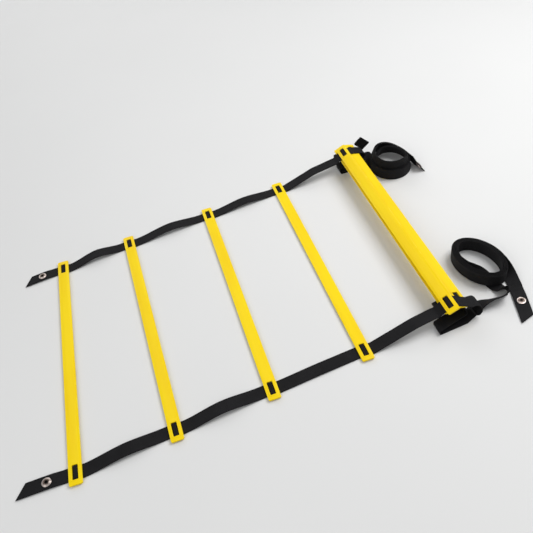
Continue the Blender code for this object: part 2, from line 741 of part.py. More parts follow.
def add_stud(label, strap, matrix, collection, cutters, material):
    """A press-stud socket on a strap's upper face, the cap under it and the hole its post passes."""
    above = HALF_THICKNESS + CLEARANCE
    rise = Matrix.Translation((0, 0, above))
    socket = turned(f"{label}_stud_socket", socket_outline(), matrix @ rise, collection, material, False)
    cap = turned(f"{label}_stud_cap", cap_outline(above), matrix, collection, material, True)
    drill = bmesh.new()
    bmesh.ops.create_cone(
        drill,
        cap_ends=True,
        segments=HOLE_SIDES,
        radius1=POST_HOLE_RADIUS,
        radius2=POST_HOLE_RADIUS,
        depth=WEBBING_THICKNESS + 2 * CUT_OVERRUN,
    )
    hole = object_from(drill, f"{label}_post_hole_cutter", cutters)
    hole.matrix_world = matrix
    hole.hide_render = True
    hole.display_type = "WIRE"
    combine(strap, hole, "DIFFERENCE")
    return [strap, socket, cap]


def stud_level():
    """Height of a strap's middle where a stud's cap lies under it on the floor."""
    return CAP_THICKNESS + CLEARANCE + HALF_THICKNESS


def flat_end(name, label, start, hinge_across, way, stud_share, collections, materials):
    """A strap end lying on the floor, cut on the slant, raised over its stud's cap."""
    parts, cutters = collections
    webbing, metal = materials
    heading, length = way.normalized(), way.length
    across = Vector((0, 0, 1)).cross(heading)
    if across.dot(hinge_across) < 0:
        across = -across
    stud = stud_share * length
    rise = Vector((0, 0, stud_level() - start.z))

    def on_way(reach, share):
        """A station this far from the start, with this share of the rise."""
        return Station(start + heading * reach + rise * share, across)

    near_share, far_share = END_LEVEL_SHARES
    near, far = stud - near_share * CAP_RADIUS, stud + far_share * CAP_RADIUS
    stations = [Station(start, hinge_across)]
    stations += [on_way(reach_share * near, rise_share) for reach_share, rise_share in END_RAMP_SHARES]
    stations += [on_way(near, 1), on_way(far, 1), on_way(length, END_TIP_SHARE)]
    strap = make_strap(name, stations, parts, webbing, tip=TIP_LEAN)
    place = start + heading * stud + rise
    upper = across if heading.cross(across).z > 0 else -across
    return add_stud(label, strap, framed(place, heading, upper), parts, cutters, metal)


def pivot(name, place, carrier, moved, collection):
    """An empty on a joint's axis, carried by the one before it, with the pieces that move about it."""
    axis = bpy.data.objects.new(name, None)
    axis.empty_display_size = WEBBING_WIDTH
    axis.location = place
    collection.objects.link(axis)
    bpy.context.view_layer.update()
    if carrier:
        axis.parent = carrier
        axis.matrix_parent_inverse = carrier.matrix_world.inverted()
    for piece in moved:
        piece.parent = axis
        piece.matrix_parent_inverse = axis.matrix_world.inverted()
    return axis


def direction(turn):
    """Level unit vector at this turn from +X."""
    return Vector((math.cos(turn), math.sin(turn), 0))


def after(last_but_one, last):
    """A station just past a strap's end, in line with it."""
    heading = (last.place - last_but_one.place).normalized()
    return Station(last.place + heading * JOIN_SHARE * CLEARANCE, last.across)


def before(first, second):
    """A station just short of a strap's start, in line with it."""
    heading = (second.place - first.place).normalized()
    return Station(first.place - heading * JOIN_SHARE * CLEARANCE, first.across)


def make_front_coil(top, joined, collections, materials):
    """The front coil, the link that leads to it from the bundle, and the tail laid flat beside it."""
    parts, webbing = collections[0], materials[0]
    centre = Vector((top.x + FRONT_COIL_PLACE[0], top.y + FRONT_COIL_PLACE[1], 0))
    coil = front_coil_stations(centre)
    span = FRONT_COIL_SPAN_SHARE * WEBBING_WIDTH
    print("front coil, least gap of the strap to itself:", least_gap(coil, span))
    near_end = centre + Matrix.Rotation(FRONT_COIL_LEAN, 3, "Z") @ Vector((0, -FRONT_COIL_HALF_LENGTH, 0))
    link = led_stations(FRONT_LINK_SHARES, near_end, after(*joined), before(coil[0], coil[1]))
    make_strap("front_link", link, parts, webbing)
    heading = direction(TAIL_TURN[FRONT])
    foot = Vector((coil[-1].place.x, coil[-1].place.y, 0))
    flat = foot + Vector((*FRONT_TAIL_SHARES, 0)) * WEBBING_WIDTH + Vector((0, 0, HALF_THICKNESS))
    across = leaning(heading, 0)
    twist = led_stations(FRONT_TWIST_SHARES, foot, coil[-1], Station(flat, across))
    make_strap("front_coil", coil + twist[1:], parts, webbing)
    start = flat + heading * CLEARANCE
    way = heading * FRONT_TAIL_LENGTH
    share = TAIL_STUD_SHARE[FRONT]
    pieces = flat_end("front_tail", "front_right", start, across, way, share, collections, materials)
    place = flat + heading * CLEARANCE / 2 + Vector((0, 0, HALF_THICKNESS))
    pivot("front_right_end_axis", place, None, pieces, parts)


def make_back_coil(top, joined, collections, materials):
    """The back coil, the link that leads to it from the bundle, and the tail that stands on edge."""
    parts, cutters = collections
    webbing, metal = materials
    up = Vector((0, 0, 1))
    centre = Vector((top.x + BACK_COIL_PLACE[0], top.y + BACK_COIL_PLACE[1], 0))
    coil = back_coil_stations(centre)
    span = BACK_COIL_SPAN_SHARE * WEBBING_WIDTH
    print("back coil, least gap of the strap to itself:", least_gap(coil, span))
    left = centre - Vector((BACK_COIL_RADIUS, 0, 0))
    link = led_stations(BACK_LINK_SHARES, left, after(*joined), before(coil[0], coil[1]))
    make_strap("back_link", link, parts, webbing)
    end = coil[-1].place + Vector((0, -BACK_TAIL_REACH, 0))
    make_strap("back_coil", coil + [Station(end, up)], parts, webbing)
    heading = direction(TAIL_TURN[BACK])
    start = end + heading * BACK_TAIL_GAP
    stud = start + heading * BACK_TAIL_LENGTH * TAIL_STUD_SHARE[BACK]
    stations = [Station(start, up), Station(start + heading * BACK_TAIL_LENGTH, up)]
    tail = make_strap("back_tail", stations, parts, webbing, TIP_LEAN)
    pieces = add_stud("back_right", tail, framed(stud, heading, up), parts, cutters, metal)
    pivot("back_right_end_axis", end + heading * BACK_TAIL_GAP / 2, None, pieces, parts)


def make_left_end(side, label, first, collections, materials):
    """A left tab: the loose end of a strap beyond the first rung, with its stud."""
    fold = tab_fold(side, first)
    start = fold - Vector((CLEARANCE / 2, 0, 0))
    across = Vector((0, 1, 0))
    share = TAB_STUD_SHARE[side]
    way = Vector(TAB_WAY[side])
    pieces = flat_end(f"{label}_tab", f"{label}_left", start, across, way, share, collections, materials)
    return fold + Vector((0, 0, HALF_THICKNESS)), pieces


def fold_axis_place(index, laid):
    """Middle of a fold's axis: between its two fold lines, on the face that the fold closes towards."""
    lines = [fold_place(side, index, laid) for side, _ in SIDES]
    closing = 1 if index % 2 else -1
    return (lines[0] + lines[1]) / 2 + Vector((0, 0, closing * HALF_THICKNESS))


def main():
    """Builds the ladder."""
    collections = fresh_scene()
    parts, cutters = collections
    yellow = finish("rung_yellow", YELLOW, 0.45)
    webbing = finish("webbing_charcoal", CHARCOAL, 0.85)
    nickel = finish("stud_nickel", NICKEL, 0.25, 1.0)
    materials = (webbing, nickel)
    laid = laid_rungs()
    folded = bundle_rungs(laid[-1])
    pattern = rung_pattern(*window_makers(cutters), cutters, yellow)
    for rung in folded:
        place_rung(rung, pattern, parts)
    sections = [[place_rung(rung, pattern, parts)] for rung in laid]
    ends = {}
    for side, label in SIDES:
        for index, pieces in enumerate(sections):
            stations = rounded(section_corners(side, index, laid))
            pieces.append(make_strap(f"{label}_strap_section_{index + 1}", stations, parts, webbing))
        stations = rounded(bundle_corners(side, laid, folded))
        ends[side] = stations[-2:]
        make_strap(f"{label}_strap_bundle", stations, parts, webbing)
        gap = least_gap(stations, BUNDLE_SPAN_SHARE * WEBBING_WIDTH)
        print(label, "bundle, least gap of the strap to itself:", gap)
    carrier = None
    for index in reversed(range(len(laid))):
        place = fold_axis_place(index, laid)
        carrier = pivot(f"fold_{index + 1}_axis", place, carrier, sections[index], parts)
    for side, label in SIDES:
        place, pieces = make_left_end(side, label, laid[0], collections, materials)
        pivot(f"{label}_left_end_axis", place, carrier, pieces, parts)
    make_front_coil(folded[0].middle, ends[FRONT], collections, materials)
    make_back_coil(folded[0].middle, ends[BACK], collections, materials)


main()
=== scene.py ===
import logging
import math
from collections.abc import Iterable, Sequence
from dataclasses import dataclass, field
from enum import Enum
from typing import NamedTuple

import bpy
import numpy as np
from mathutils import Matrix, Vector


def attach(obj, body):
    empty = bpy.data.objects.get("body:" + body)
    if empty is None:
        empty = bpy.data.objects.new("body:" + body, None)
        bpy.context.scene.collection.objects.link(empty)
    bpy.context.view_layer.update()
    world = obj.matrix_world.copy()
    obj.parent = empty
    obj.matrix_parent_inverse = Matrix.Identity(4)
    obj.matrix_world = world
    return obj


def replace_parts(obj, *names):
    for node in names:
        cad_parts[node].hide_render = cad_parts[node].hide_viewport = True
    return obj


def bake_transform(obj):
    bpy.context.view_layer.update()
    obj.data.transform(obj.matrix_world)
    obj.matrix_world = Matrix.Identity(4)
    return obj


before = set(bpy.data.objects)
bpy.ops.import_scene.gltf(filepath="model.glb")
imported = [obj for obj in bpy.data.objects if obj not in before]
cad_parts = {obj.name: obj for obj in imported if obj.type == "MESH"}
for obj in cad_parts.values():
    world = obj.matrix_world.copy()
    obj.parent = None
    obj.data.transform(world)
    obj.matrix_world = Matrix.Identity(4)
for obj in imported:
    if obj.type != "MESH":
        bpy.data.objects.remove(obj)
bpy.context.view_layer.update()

LOG = logging.getLogger("agility_ladder")

# Webbing
WEBBING_WIDTH = 0.0200
WEBBING_THICKNESS = 0.0012
WEBBING_RIBS = 15
CLEARANCE = 0.0003
BEND_RADIUS = 0.0009
HALF_THICKNESS = WEBBING_THICKNESS / 2
HALF_WIDTH = WEBBING_WIDTH / 2

# Rungs
RUNG_LENGTH = 0.4300
RUNG_WIDTH = 0.0180
RUNG_THICKNESS = 0.0025
WINDOW_LENGTH = 0.0215
WINDOW_WIDTH = 0.0080
END_BORDER = 0.0073
BAR_WIDTH = 0.0025
BAR_TOP = 0.0009
WEAVE_LEAN = 0.00055
WINDOW_OFFSET = RUNG_LENGTH / 2 - END_BORDER - WINDOW_LENGTH / 2
SLOT_MIDDLE = (BAR_WIDTH + WINDOW_WIDTH) / 4
RUNG_UNDER = -(RUNG_THICKNESS / 2 + CLEARANCE + HALF_THICKNESS)
RUNG_OVER = -RUNG_UNDER
BAR_OVER = -RUNG_THICKNESS / 2 + BAR_TOP + CLEARANCE + HALF_THICKNESS
LAID_RUNG_HEIGHT = HALF_THICKNESS - RUNG_UNDER

# Press studs
CAP_RADIUS = 0.0062
CAP_THICKNESS = 0.0010

UP = Vector((0.0, 0.0, 1.0))
ALONG_RUNGS = Vector((0.0, 1.0, 0.0))


class Side(Enum):
    """The two straps, by the sign of their place along the rungs."""

    FRONT = -1
    BACK = 1

    @property
    def label(self) -> str:
        """The side's word in a piece's name."""
        return self.name.lower()


class Finishes(Enum):
    """The record's slots."""

    RUNG = "rung_yellow"
    WEBBING = "webbing_charcoal"
    STUD = "stud_nickel"


# A bend of a free fold: its shares of the folds' reach, height and sway, and its radius
Bend = tuple[float, float, float, float]

# A place on a smooth lead: shares of the webbing's width, and the strap's lean in degrees
LeadPlace = tuple[float, float, float, float]


class Station(NamedTuple):
    """A cross-section of a strap: its middle and the direction across the strap."""

    place: Vector
    across: Vector


class Corner(NamedTuple):
    """A bend of a strap: its place, the direction across the strap there and its radius."""

    place: Vector
    across: Vector
    radius: float


class RungPlace(NamedTuple):
    """A rung's place: its middle, its turn about the vertical and its right edge's rise."""

    name: str
    middle: Vector
    turn: float
    tilt: float

    def matrix(self) -> Matrix:
        """World matrix, with local X across the rung, Y along it and Z out of its top."""
        turned = Matrix.Rotation(self.turn, 4, "Z") @ Matrix.Rotation(-self.tilt, 4, "Y")
        return Matrix.Translation(self.middle) @ turned

    def at(self, across: float, along: float, up: float) -> Vector:
        """World place of a point given in the rung's own axes.

        Args:
            across: Distance across the rung.
            along: Distance along the rung.
            up: Distance out of its top.

        Returns:
            The point in the row frame.
        """
        return self.matrix() @ Vector((across, along, up))

    def window(self, side: Side) -> Vector:
        """Middle of the window at this end."""
        return self.at(0.0, side.value * WINDOW_OFFSET, 0.0)

    def axis(self) -> Vector:
        """Direction along the rung."""
        return self.matrix().to_3x3() @ ALONG_RUNGS


@dataclass
class LadderLayout:
    """Where the rungs lie and where the straps fold."""

    first_rung: tuple[float, float] = (-0.2950, -0.0286)
    bays: tuple[float, ...] = (0.1276, 0.1430, 0.1389)
    bay_drifts: tuple[float, ...] = (0.0130, 0.0128, 0.0114)
    turns_deg: tuple[float, ...] = (-1.2, 1.2, -0.1, 0.2)
    lead_fold_share: float = 0.523
    fold_heights: dict[Side, tuple[float, ...]] = field(
        default_factory=lambda: {
            Side.FRONT: (0.0056, 0.0075, 0.0014, 0.0155),
            Side.BACK: (0.0082, 0.0078, 0.0060, 0.0170),
        }
    )
    bundle_step: tuple[float, float] = (0.1310, 0.0081)
    # Height, offset across, offset along and tilt of each folded rung, top one first
    folded: tuple[tuple[float, float, float, float], ...] = (
        (0.0352, 0.0, 0.0, 24.0),
        (0.0310, 0.0177, 0.0050, -15.0),
        (0.0258, -0.0001, 0.0080, 4.0),
        (0.0206, 0.0060, 0.0120, 4.0),
    )
    tab_fold_offset: float = 0.0140

    def laid_rungs(self) -> list[RungPlace]:
        """The rungs on the floor.

        Returns:
            The four rungs, left to right.
        """
        x, y = self.first_rung
        rungs = []
        for index, turn in enumerate(self.turns_deg):
            middle = Vector((x, y, LAID_RUNG_HEIGHT))
            rungs.append(RungPlace(f"rung_{index + 1}", middle, math.radians(turn), 0.0))
            if index < len(self.bays):
                x += self.bays[index]
                y += self.bay_drifts[index]
        return rungs

    def folded_rungs(self) -> list[RungPlace]:
        """The rungs of the bundle.

        Returns:
            The four rungs, the top one first.
        """
        last = self.laid_rungs()[-1]
        x = last.middle.x + self.bundle_step[0]
        y = last.middle.y + self.bundle_step[1]
        rungs = []
        for index, (height, across, along, tilt) in enumerate(self.folded):
            middle = Vector((x + across, y + along, height))
            rungs.append(RungPlace(f"rung_{index + 5}", middle, 0.0, math.radians(tilt)))
        return rungs

    def fold(self, side: Side, index: int) -> Vector:
        """Where a strap crosses a fold line.

        Args:
            side: The strap.
            index: The fold's number from the left, from 0.

        Returns:
            The middle of the strap there.
        """
        rungs = self.laid_rungs()
        height = self.fold_heights[side][index]
        before = rungs[index].window(side)
        if index + 1 == len(rungs):
            x = rungs[index].middle.x + self.bundle_step[0] * self.lead_fold_share
            return Vector((x, before.y + self.bundle_step[1] * self.lead_fold_share, height))
        after = rungs[index + 1].window(side)
        x = (rungs[index].middle.x + rungs[index + 1].middle.x) / 2
        return Vector((x, (before.y + after.y) / 2, height))

    def tab_fold(self, side: Side) -> Vector:
        """The hinge line of a left end."""
        window = self.laid_rungs()[0].window(side)
        return Vector((window.x - self.tab_fold_offset, window.y, HALF_THICKNESS))


class StrapCurve:
    """Builds the stations of a strap from bends, arcs and smooth leads."""

    arc_step = math.radians(15.0)

    @classmethod
    def bend(cls, before: Vector, corner: Corner, after: Vector) -> list[Station]:
        """The stations of one rounded corner.

        Args:
            before: The place that the strap comes from.
            corner: The bend.
            after: The place that it goes to.

        Returns:
            Stations on the arc between the two straight runs.
        """
        start = (before - corner.place).normalized()
        end = (after - corner.place).normalized()
        turn = math.pi - start.angle(end)
        if corner.radius == 0 or turn < cls.arc_step / 3:
            return [Station(corner.place, corner.across)]
        reach = corner.radius * math.tan(turn / 2)
        inward = (start + end).normalized()
        centre = corner.place + inward * (corner.radius / math.cos(turn / 2))
        steps = max(2, math.ceil(turn / cls.arc_step))
        first = corner.place + start * reach - centre
        normal = first.cross(corner.place + end * reach - centre).normalized()
        found = []
        for step in range(steps + 1):
            arm = Matrix.Rotation(turn * step / steps, 3, normal) @ first
            found.append(Station(centre + arm, corner.across))
        return found

    @classmethod
    def rounded(cls, corners: Sequence[Corner]) -> list[Station]:
        """The stations along straight runs joined by arcs.

        Args:
            corners: The ends and the bends between them, in order.

        Returns:
            The stations, both ends included.
        """
        found = [Station(corners[0].place, corners[0].across)]
        for before, corner, after in zip(corners, corners[1:], corners[2:]):
            found += cls.bend(before.place, corner, after.place)
        found.append(Station(corners[-1].place, corners[-1].across))
        return found

    @staticmethod
    def smooth(stations: Sequence[Station], steps: int) -> list[Station]:
        """Stations along a smooth curve through the given ones.

        Args:
            stations: What the curve passes through.
            steps: How many pieces each stretch is cut into.

        Returns:
            The curve's stations, both ends included.
        """
        ends = [stations[0], *stations, stations[-1]]
        found = []
        for a, b, c, d in zip(ends, ends[1:], ends[2:], ends[3:]):
            for step in range(steps):
                t = step / steps
                weights = (
                    (-t + 2 * t**2 - t**3) / 2,
                    (2 - 5 * t**2 + 3 * t**3) / 2,
                    (t + 4 * t**2 - 3 * t**3) / 2,
                    (t**3 - t**2) / 2,
                )
                place = Vector()
                for weight, station in zip(weights, (a, b, c, d)):
                    place += weight * station.place
                found.append(Station(place, b.across.lerp(c.across, t).normalized()))
        found.append(stations[-1])
        return found

    @staticmethod
    def leaning(heading: Vector, lean: float) -> Vector:
        """Direction across a strap that leans by this angle from flat, seen along its heading."""
        side = Vector((-heading.y, heading.x, 0)).normalized()
        return side * math.cos(lean) + UP * math.sin(lean)

    @classmethod
    def led(
        cls,
        table: Sequence[LeadPlace],
        origin: Vector,
        start: Station,
        end: Station,
        steps: int = 8,
    ) -> list[Station]:
        """Smooth stations through a table of places.

        Args:
            table: The places between the first and the last station.
            origin: What the places are given from.
            start: The first station.
            end: The last station.
            steps: How many pieces each stretch is cut into.

        Returns:
            The stations, raised where the webbing would reach below the floor.
        """
        places = [start.place]
        places += [origin + Vector(row[:3]) * WEBBING_WIDTH for row in table]
        places.append(end.place)
        stations = [start]
        for index, row in enumerate(table, start=1):
            heading = places[index + 1] - places[index - 1]
            stations.append(Station(places[index], cls.leaning(heading, math.radians(row[3]))))
        stations.append(end)
        return [cls.on_floor(station) for station in cls.smooth(stations, steps)]

    @staticmethod
    def on_floor(station: Station) -> Station:
        """Keeps the webbing's lowest edge on the floor.

        Args:
            station: The station.

        Returns:
            The same station, raised where the webbing would reach below the floor.
        """
        level = math.sqrt(max(0.0, 1 - station.across.z**2))
        dip = HALF_WIDTH * abs(station.across.z) + HALF_THICKNESS * level
        place = station.place.copy()
        place.z = max(place.z, dip)
        return Station(place, station.across)


@dataclass(frozen=True)
class BundleFolds:
    """The free bends of one strap's folds in the bundle, and how far they sway along the rungs."""

    sway: float
    over_sway_share: float
    right: tuple[Bend, ...]
    left: tuple[Bend, ...]
    inner: tuple[Bend, ...]
    floor: tuple[Bend, ...]
    leave: tuple[Bend, ...]


FOLD_RADIUS = 0.0030
TIGHT_FOLD_RADIUS = 0.0021
LOW_FOLD_RADIUS = 0.0026
LOBE_RADIUS = 0.0110
LEAD_BEND_RADIUS = 0.0200
LEAD_FOLDS: tuple[Bend, ...] = (
    (-1.05, 0.60, 0.0, LEAD_BEND_RADIUS),
    (-0.50, 0.68, 0.0, LEAD_BEND_RADIUS / 2),
    (-0.34, 0.72, 0.0, FOLD_RADIUS),
)
BUNDLE_FOLDS = {
    Side.FRONT: BundleFolds(
        sway=-0.0140,
        over_sway_share=0.52,
        right=((0.79, 0.91, 0.36, LOBE_RADIUS), (0.97, 0.47, 0.50, LOBE_RADIUS), (0.79, 0.11, 0.50, 0.0040)),
        left=((-0.29, 0.765, -0.5, TIGHT_FOLD_RADIUS), (-0.29, 0.585, -0.7, TIGHT_FOLD_RADIUS)),
        inner=((0.50, 0.58, -0.4, LOW_FOLD_RADIUS), (0.53, 0.34, 0.1, LOW_FOLD_RADIUS)),
        floor=((-0.45, 0.29, 1.0, LOW_FOLD_RADIUS), (-0.45, 0.02, 1.0, LOW_FOLD_RADIUS)),
        leave=((0.45, 0.02, 0.7, FOLD_RADIUS), (0.95, 0.02, -0.1, 0.0)),
    ),
    Side.BACK: BundleFolds(
        sway=-0.0050,
        over_sway_share=-0.30,
        right=((0.70, 0.955, 0.0, FOLD_RADIUS), (0.79, 0.76, 0.0, 0.0015), (0.68, 0.66, 0.0, 0.0015)),
        left=((-0.26, 0.765, -1.4, TIGHT_FOLD_RADIUS), (-0.26, 0.585, -2.0, TIGHT_FOLD_RADIUS)),
        inner=((0.43, 0.57, -1.6, LOW_FOLD_RADIUS), (0.44, 0.34, -0.8, LOW_FOLD_RADIUS)),
        floor=((-0.25, 0.28, 0.2, LOW_FOLD_RADIUS), (-0.25, 0.02, 1.0, LOW_FOLD_RADIUS)),
        leave=((0.36, 0.02, 1.0, FOLD_RADIUS), (0.62, 0.38, 0.9, 0.0)),
    ),
}


@dataclass
class StrapRoute:
    """The route of one strap from its left tip to its right tip."""

    side: Side
    layout: LadderLayout
    wave_foot: float = 0.0032
    lead_foot: float = 0.0035
    wave_steps: int = 16
    fold_reach: float = 0.0500
    fold_height: float = 0.0300
    lead_drift_share: float = 0.2
    top_exit_share: float = 0.385
    covered_exit_share: float = -0.31
    under_entry_share: float = 0.61

    def weave(self, rung: RungPlace, hand: int) -> list[Corner]:
        """The four bends of the strap over a window's bar.

        Args:
            rung: The rung that the strap is threaded on.
            hand: 1 where the strap comes from the rung's left, -1 from its right.

        Returns:
            The bends in the strap's order.
        """
        along = self.side.value * WINDOW_OFFSET
        outer, inner = SLOT_MIDDLE + WEAVE_LEAN, SLOT_MIDDLE - WEAVE_LEAN
        steps = ((-outer, RUNG_UNDER), (-inner, BAR_OVER), (inner, BAR_OVER), (outer, RUNG_UNDER))
        return [Corner(rung.at(hand * x, along, up), rung.axis(), BEND_RADIUS) for x, up in steps]

    def wave(self, start: Vector, end: Vector) -> list[Corner]:
        """The strap's gentle rise or fall between a rung and a fold line.

        Args:
            start: Where it starts.
            end: Where it ends.

        Returns:
            Places between the two, level at both ends.
        """
        found = []
        for step in range(1, self.wave_steps):
            t = step / self.wave_steps
            place = start.lerp(end, t)
            place.z = start.z + (end.z - start.z) * t * t * (3 - 2 * t)
            found.append(Corner(place, ALONG_RUNGS, 0.0))
        return found

    def laid(self) -> list[Station]:
        """The strap past the laid rungs.

        Returns:
            Stations from the left end's hinge line to the last fold line.
        """
        rungs = self.layout.laid_rungs()
        half = RUNG_WIDTH / 2
        along = self.side.value * WINDOW_OFFSET
        corners = [Corner(self.layout.tab_fold(self.side), ALONG_RUNGS, 0.0)]
        for index, rung in enumerate(rungs):
            if index:
                foot = rung.at(-half - self.wave_foot, along, RUNG_UNDER)
                corners += self.wave(self.layout.fold(self.side, index - 1), foot)
                corners.append(Corner(foot, ALONG_RUNGS, 0.0))
            corners.append(Corner(rung.at(-half - CLEARANCE, along, RUNG_UNDER), rung.axis(), 0.0))
            corners += self.weave(rung, 1)
            corners.append(Corner(rung.at(half + CLEARANCE, along, RUNG_UNDER), rung.axis(), 0.0))
            end = self.layout.fold(self.side, index)
            if index + 1 == len(rungs):
                foot = rung.at(half + self.lead_foot, along, RUNG_UNDER)
                corners.append(Corner(foot, ALONG_RUNGS, LEAD_BEND_RADIUS / 2))
            else:
                foot = rung.at(half + self.wave_foot, along, RUNG_UNDER)
                corners.append(Corner(foot, ALONG_RUNGS, 0.0))
                corners += self.wave(foot, end)
            corners.append(Corner(end, ALONG_RUNGS, 0.0))
        return StrapCurve.rounded(corners)

    def bundle(self) -> list[Station]:
        """The strap through the bundle.

        Returns:
            Stations from the last fold line to the coil's link.
        """
        top, covered, under, lowest = self.layout.folded_rungs()
        folds = BUNDLE_FOLDS[self.side]
        along = self.side.value * WINDOW_OFFSET
        origin = top.window(self.side)
        half = RUNG_WIDTH / 2

        def free(bends: Iterable[Bend]) -> list[Corner]:
            """Bends that lie free of the rungs.

            Args:
                bends: Their shares and radii.

            Returns:
                The bends in their places.
            """
            found = []
            for reach, height, sway, radius in bends:
                shift = Vector((reach * self.fold_reach, sway * folds.sway, 0))
                place = Vector((origin.x, origin.y, height * self.fold_height)) + shift
                found.append(Corner(place, ALONG_RUNGS, radius))
            return found

        def beneath(rung: RungPlace, share: float, radius: float) -> Corner:
            """A bend under a rung's border, this share of its width from its middle."""
            return Corner(rung.at(share * RUNG_WIDTH, along, RUNG_UNDER), ALONG_RUNGS, radius)

        lead = self.layout.fold(self.side, len(self.layout.turns_deg) - 1)
        lead_bends = free(LEAD_FOLDS)
        lead_bends[0].place.y = lead.y + (origin.y - lead.y) * self.lead_drift_share
        over = covered.at(half, along, RUNG_OVER)
        over.y = origin.y + folds.over_sway_share * folds.sway
        tuck = covered.at(half + CLEARANCE, along, RUNG_UNDER)
        corners = [Corner(lead, ALONG_RUNGS, 0.0), *lead_bends, beneath(top, -0.5, FOLD_RADIUS)]
        corners += [*self.weave(top, 1), beneath(top, self.top_exit_share, FOLD_RADIUS)]
        corners += [Corner(over, ALONG_RUNGS, 0.0), *free(folds.right)]
        corners.append(Corner(tuck, ALONG_RUNGS, 2 * BEND_RADIUS))
        corners += [*self.weave(covered, -1), beneath(covered, self.covered_exit_share, BEND_RADIUS)]
        corners += [beneath(under, self.under_entry_share, BEND_RADIUS), *self.weave(under, -1)]
        corners += [beneath(under, -0.5, TIGHT_FOLD_RADIUS), *free(folds.left)]
        corners += [beneath(lowest, -0.5, TIGHT_FOLD_RADIUS), *self.weave(lowest, 1)]
        corners += [beneath(lowest, 0.5, TIGHT_FOLD_RADIUS), *free(folds.inner)]
        corners += free(folds.floor) + free(folds.leave)
        return StrapCurve.rounded(corners)


@dataclass
class StrapEnd:
    """A strap's loose end: its length, where its stud sits and how far its tip is cut on the slant."""

    length: float
    stud_share: float
    drift: float = 0.0
    slant: float = 0.0138
    # Share of the way to the cap, and the rise there as a share of the cap's
    ramp: tuple[tuple[float, float], ...] = ((0.0, 0.0), (0.15, 0.02), (0.4, 0.3), (0.75, 0.9), (1.0, 1.0))
    near_reach: float = 1.15
    far_reach: float = 1.3
    tip_rise: float = 0.6
    steps: int = 5

    def flat(self, start: Vector, heading: Vector, across: Vector) -> list[Station]:
        """Stations of an end that lies on the floor and rises over its stud's cap.

        Args:
            start: The hinge line's middle.
            heading: The way to the tip.
            across: Direction across the strap.

        Returns:
            The stations from the hinge line to the tip.
        """
        rise = UP * (CAP_THICKNESS + CLEARANCE + HALF_THICKNESS - start.z)
        stud = self.stud_share * self.length
        near, far = stud - self.near_reach * CAP_RADIUS, stud + self.far_reach * CAP_RADIUS
        ways = [(way * near, share) for way, share in self.ramp]
        ways += [(far, 1.0), (self.length, self.tip_rise)]
        key = [Station(start + heading * reach + rise * share, across) for reach, share in ways]
        return StrapCurve.smooth(key, self.steps)


@dataclass
class Coil:
    """What both coils share: where they lie from the bundle's top rung, and the tail's heading."""

    top_rung: Vector
    place: tuple[float, float]
    tail_turn: float

    @property
    def centre(self) -> Vector:
        """The coil's middle on the floor."""
        return Vector((self.top_rung.x + self.place[0], self.top_rung.y + self.place[1], 0))

    @property
    def heading(self) -> Vector:
        """The way to the tail's tip."""
        return Vector((math.cos(self.tail_turn), math.sin(self.tail_turn), 0))


@dataclass
class FrontCoil(Coil):
    """The front strap's oval coil, its link from the bundle and its tail."""

    place: tuple[float, float] = (0.0905, -0.1253)
    tail_turn: float = math.radians(-106.6)
    half_width: float = 0.0329
    half_length: float = 0.0494
    lean: float = math.radians(14.0)
    slack: float = 0.0010
    near_lift: float = 0.0027
    end_angle: float = math.radians(-25.0)
    turns: float = 4.5
    pitch: float = 0.00178
    points: int = 48
    link_shares: tuple[LeadPlace, ...] = (
        (-2.20, -1.07, 0.22, -25),
        (-1.60, -1.15, 0.38, -45),
        (-0.96, -1.20, 0.42, -50),
        (-0.46, -1.15, 0.46, -62),
        (-0.19, -0.92, 0.44, -92),
        (-0.24, -0.65, 0.25, -130),
        (-0.34, -0.38, 0.075, -165),
        (-0.46, -0.03, 0.03, -178),
        (-0.59, 0.48, 0.03, -180),
        (-0.71, 0.99, 0.09, -187),
        (-0.96, 1.40, 0.295, -215),
        (-1.28, 1.80, 0.465, -245),
        (-1.59, 2.33, 0.52, -262),
    )
    twist_shares: tuple[LeadPlace, ...] = (
        (-0.10, -0.45, 0.47, 66),
        (-0.20, -0.97, 0.33, 40),
        (-0.27, -1.54, 0.14, 16),
    )
    tail_shares: tuple[float, float] = (-0.34, -2.20)

    def wound(self, turn: float) -> Vector:
        """The middle of the wound strap.

        Args:
            turn: Turns from its inner end, clockwise.

        Returns:
            The place.
        """
        inward = self.turns - turn
        angle = self.end_angle + 2 * math.pi * inward
        loose = self.slack * inward * (1 - math.cos(angle - math.pi / 4)) / 2
        across = self.half_width - inward * self.pitch - loose
        along = self.half_length - inward * self.pitch - loose
        local = Vector((across * math.cos(angle), along * math.sin(angle), 0))
        local.rotate(Matrix.Rotation(self.lean, 3, "Z"))
        near = (self.half_length - local.y) / (2 * self.half_length)
        return self.centre + local + UP * (HALF_WIDTH + self.near_lift * near)

    def stations(self, before: Station) -> list[Station]:
        """The strap from the bundle's end to the start of its tail.

        Args:
            before: The bundle's last station.

        Returns:
            The stations.
        """
        count = round(self.turns * self.points)
        coil = [Station(self.wound(i * self.turns / count), UP) for i in range(count + 1)]
        near_end = Matrix.Rotation(self.lean, 3, "Z") @ Vector((0, -self.half_length, 0))
        link = StrapCurve.led(self.link_shares, self.centre + near_end, before, coil[0])
        edge = coil[-1].place
        flat = Vector((edge.x, edge.y, HALF_THICKNESS)) + Vector((*self.tail_shares, 0)) * WEBBING_WIDTH
        end = Station(flat, StrapCurve.leaning(self.heading, 0))
        twist = StrapCurve.led(self.twist_shares, Vector((edge.x, edge.y, 0)), coil[-1], end)
        return link[1:] + coil[1:] + twist[1:]

    def tail(self, start: Vector, end: StrapEnd) -> list[Station]:
        """Stations of the tail, which lies flat."""
        return end.flat(start, self.heading, StrapCurve.leaning(self.heading, 0))


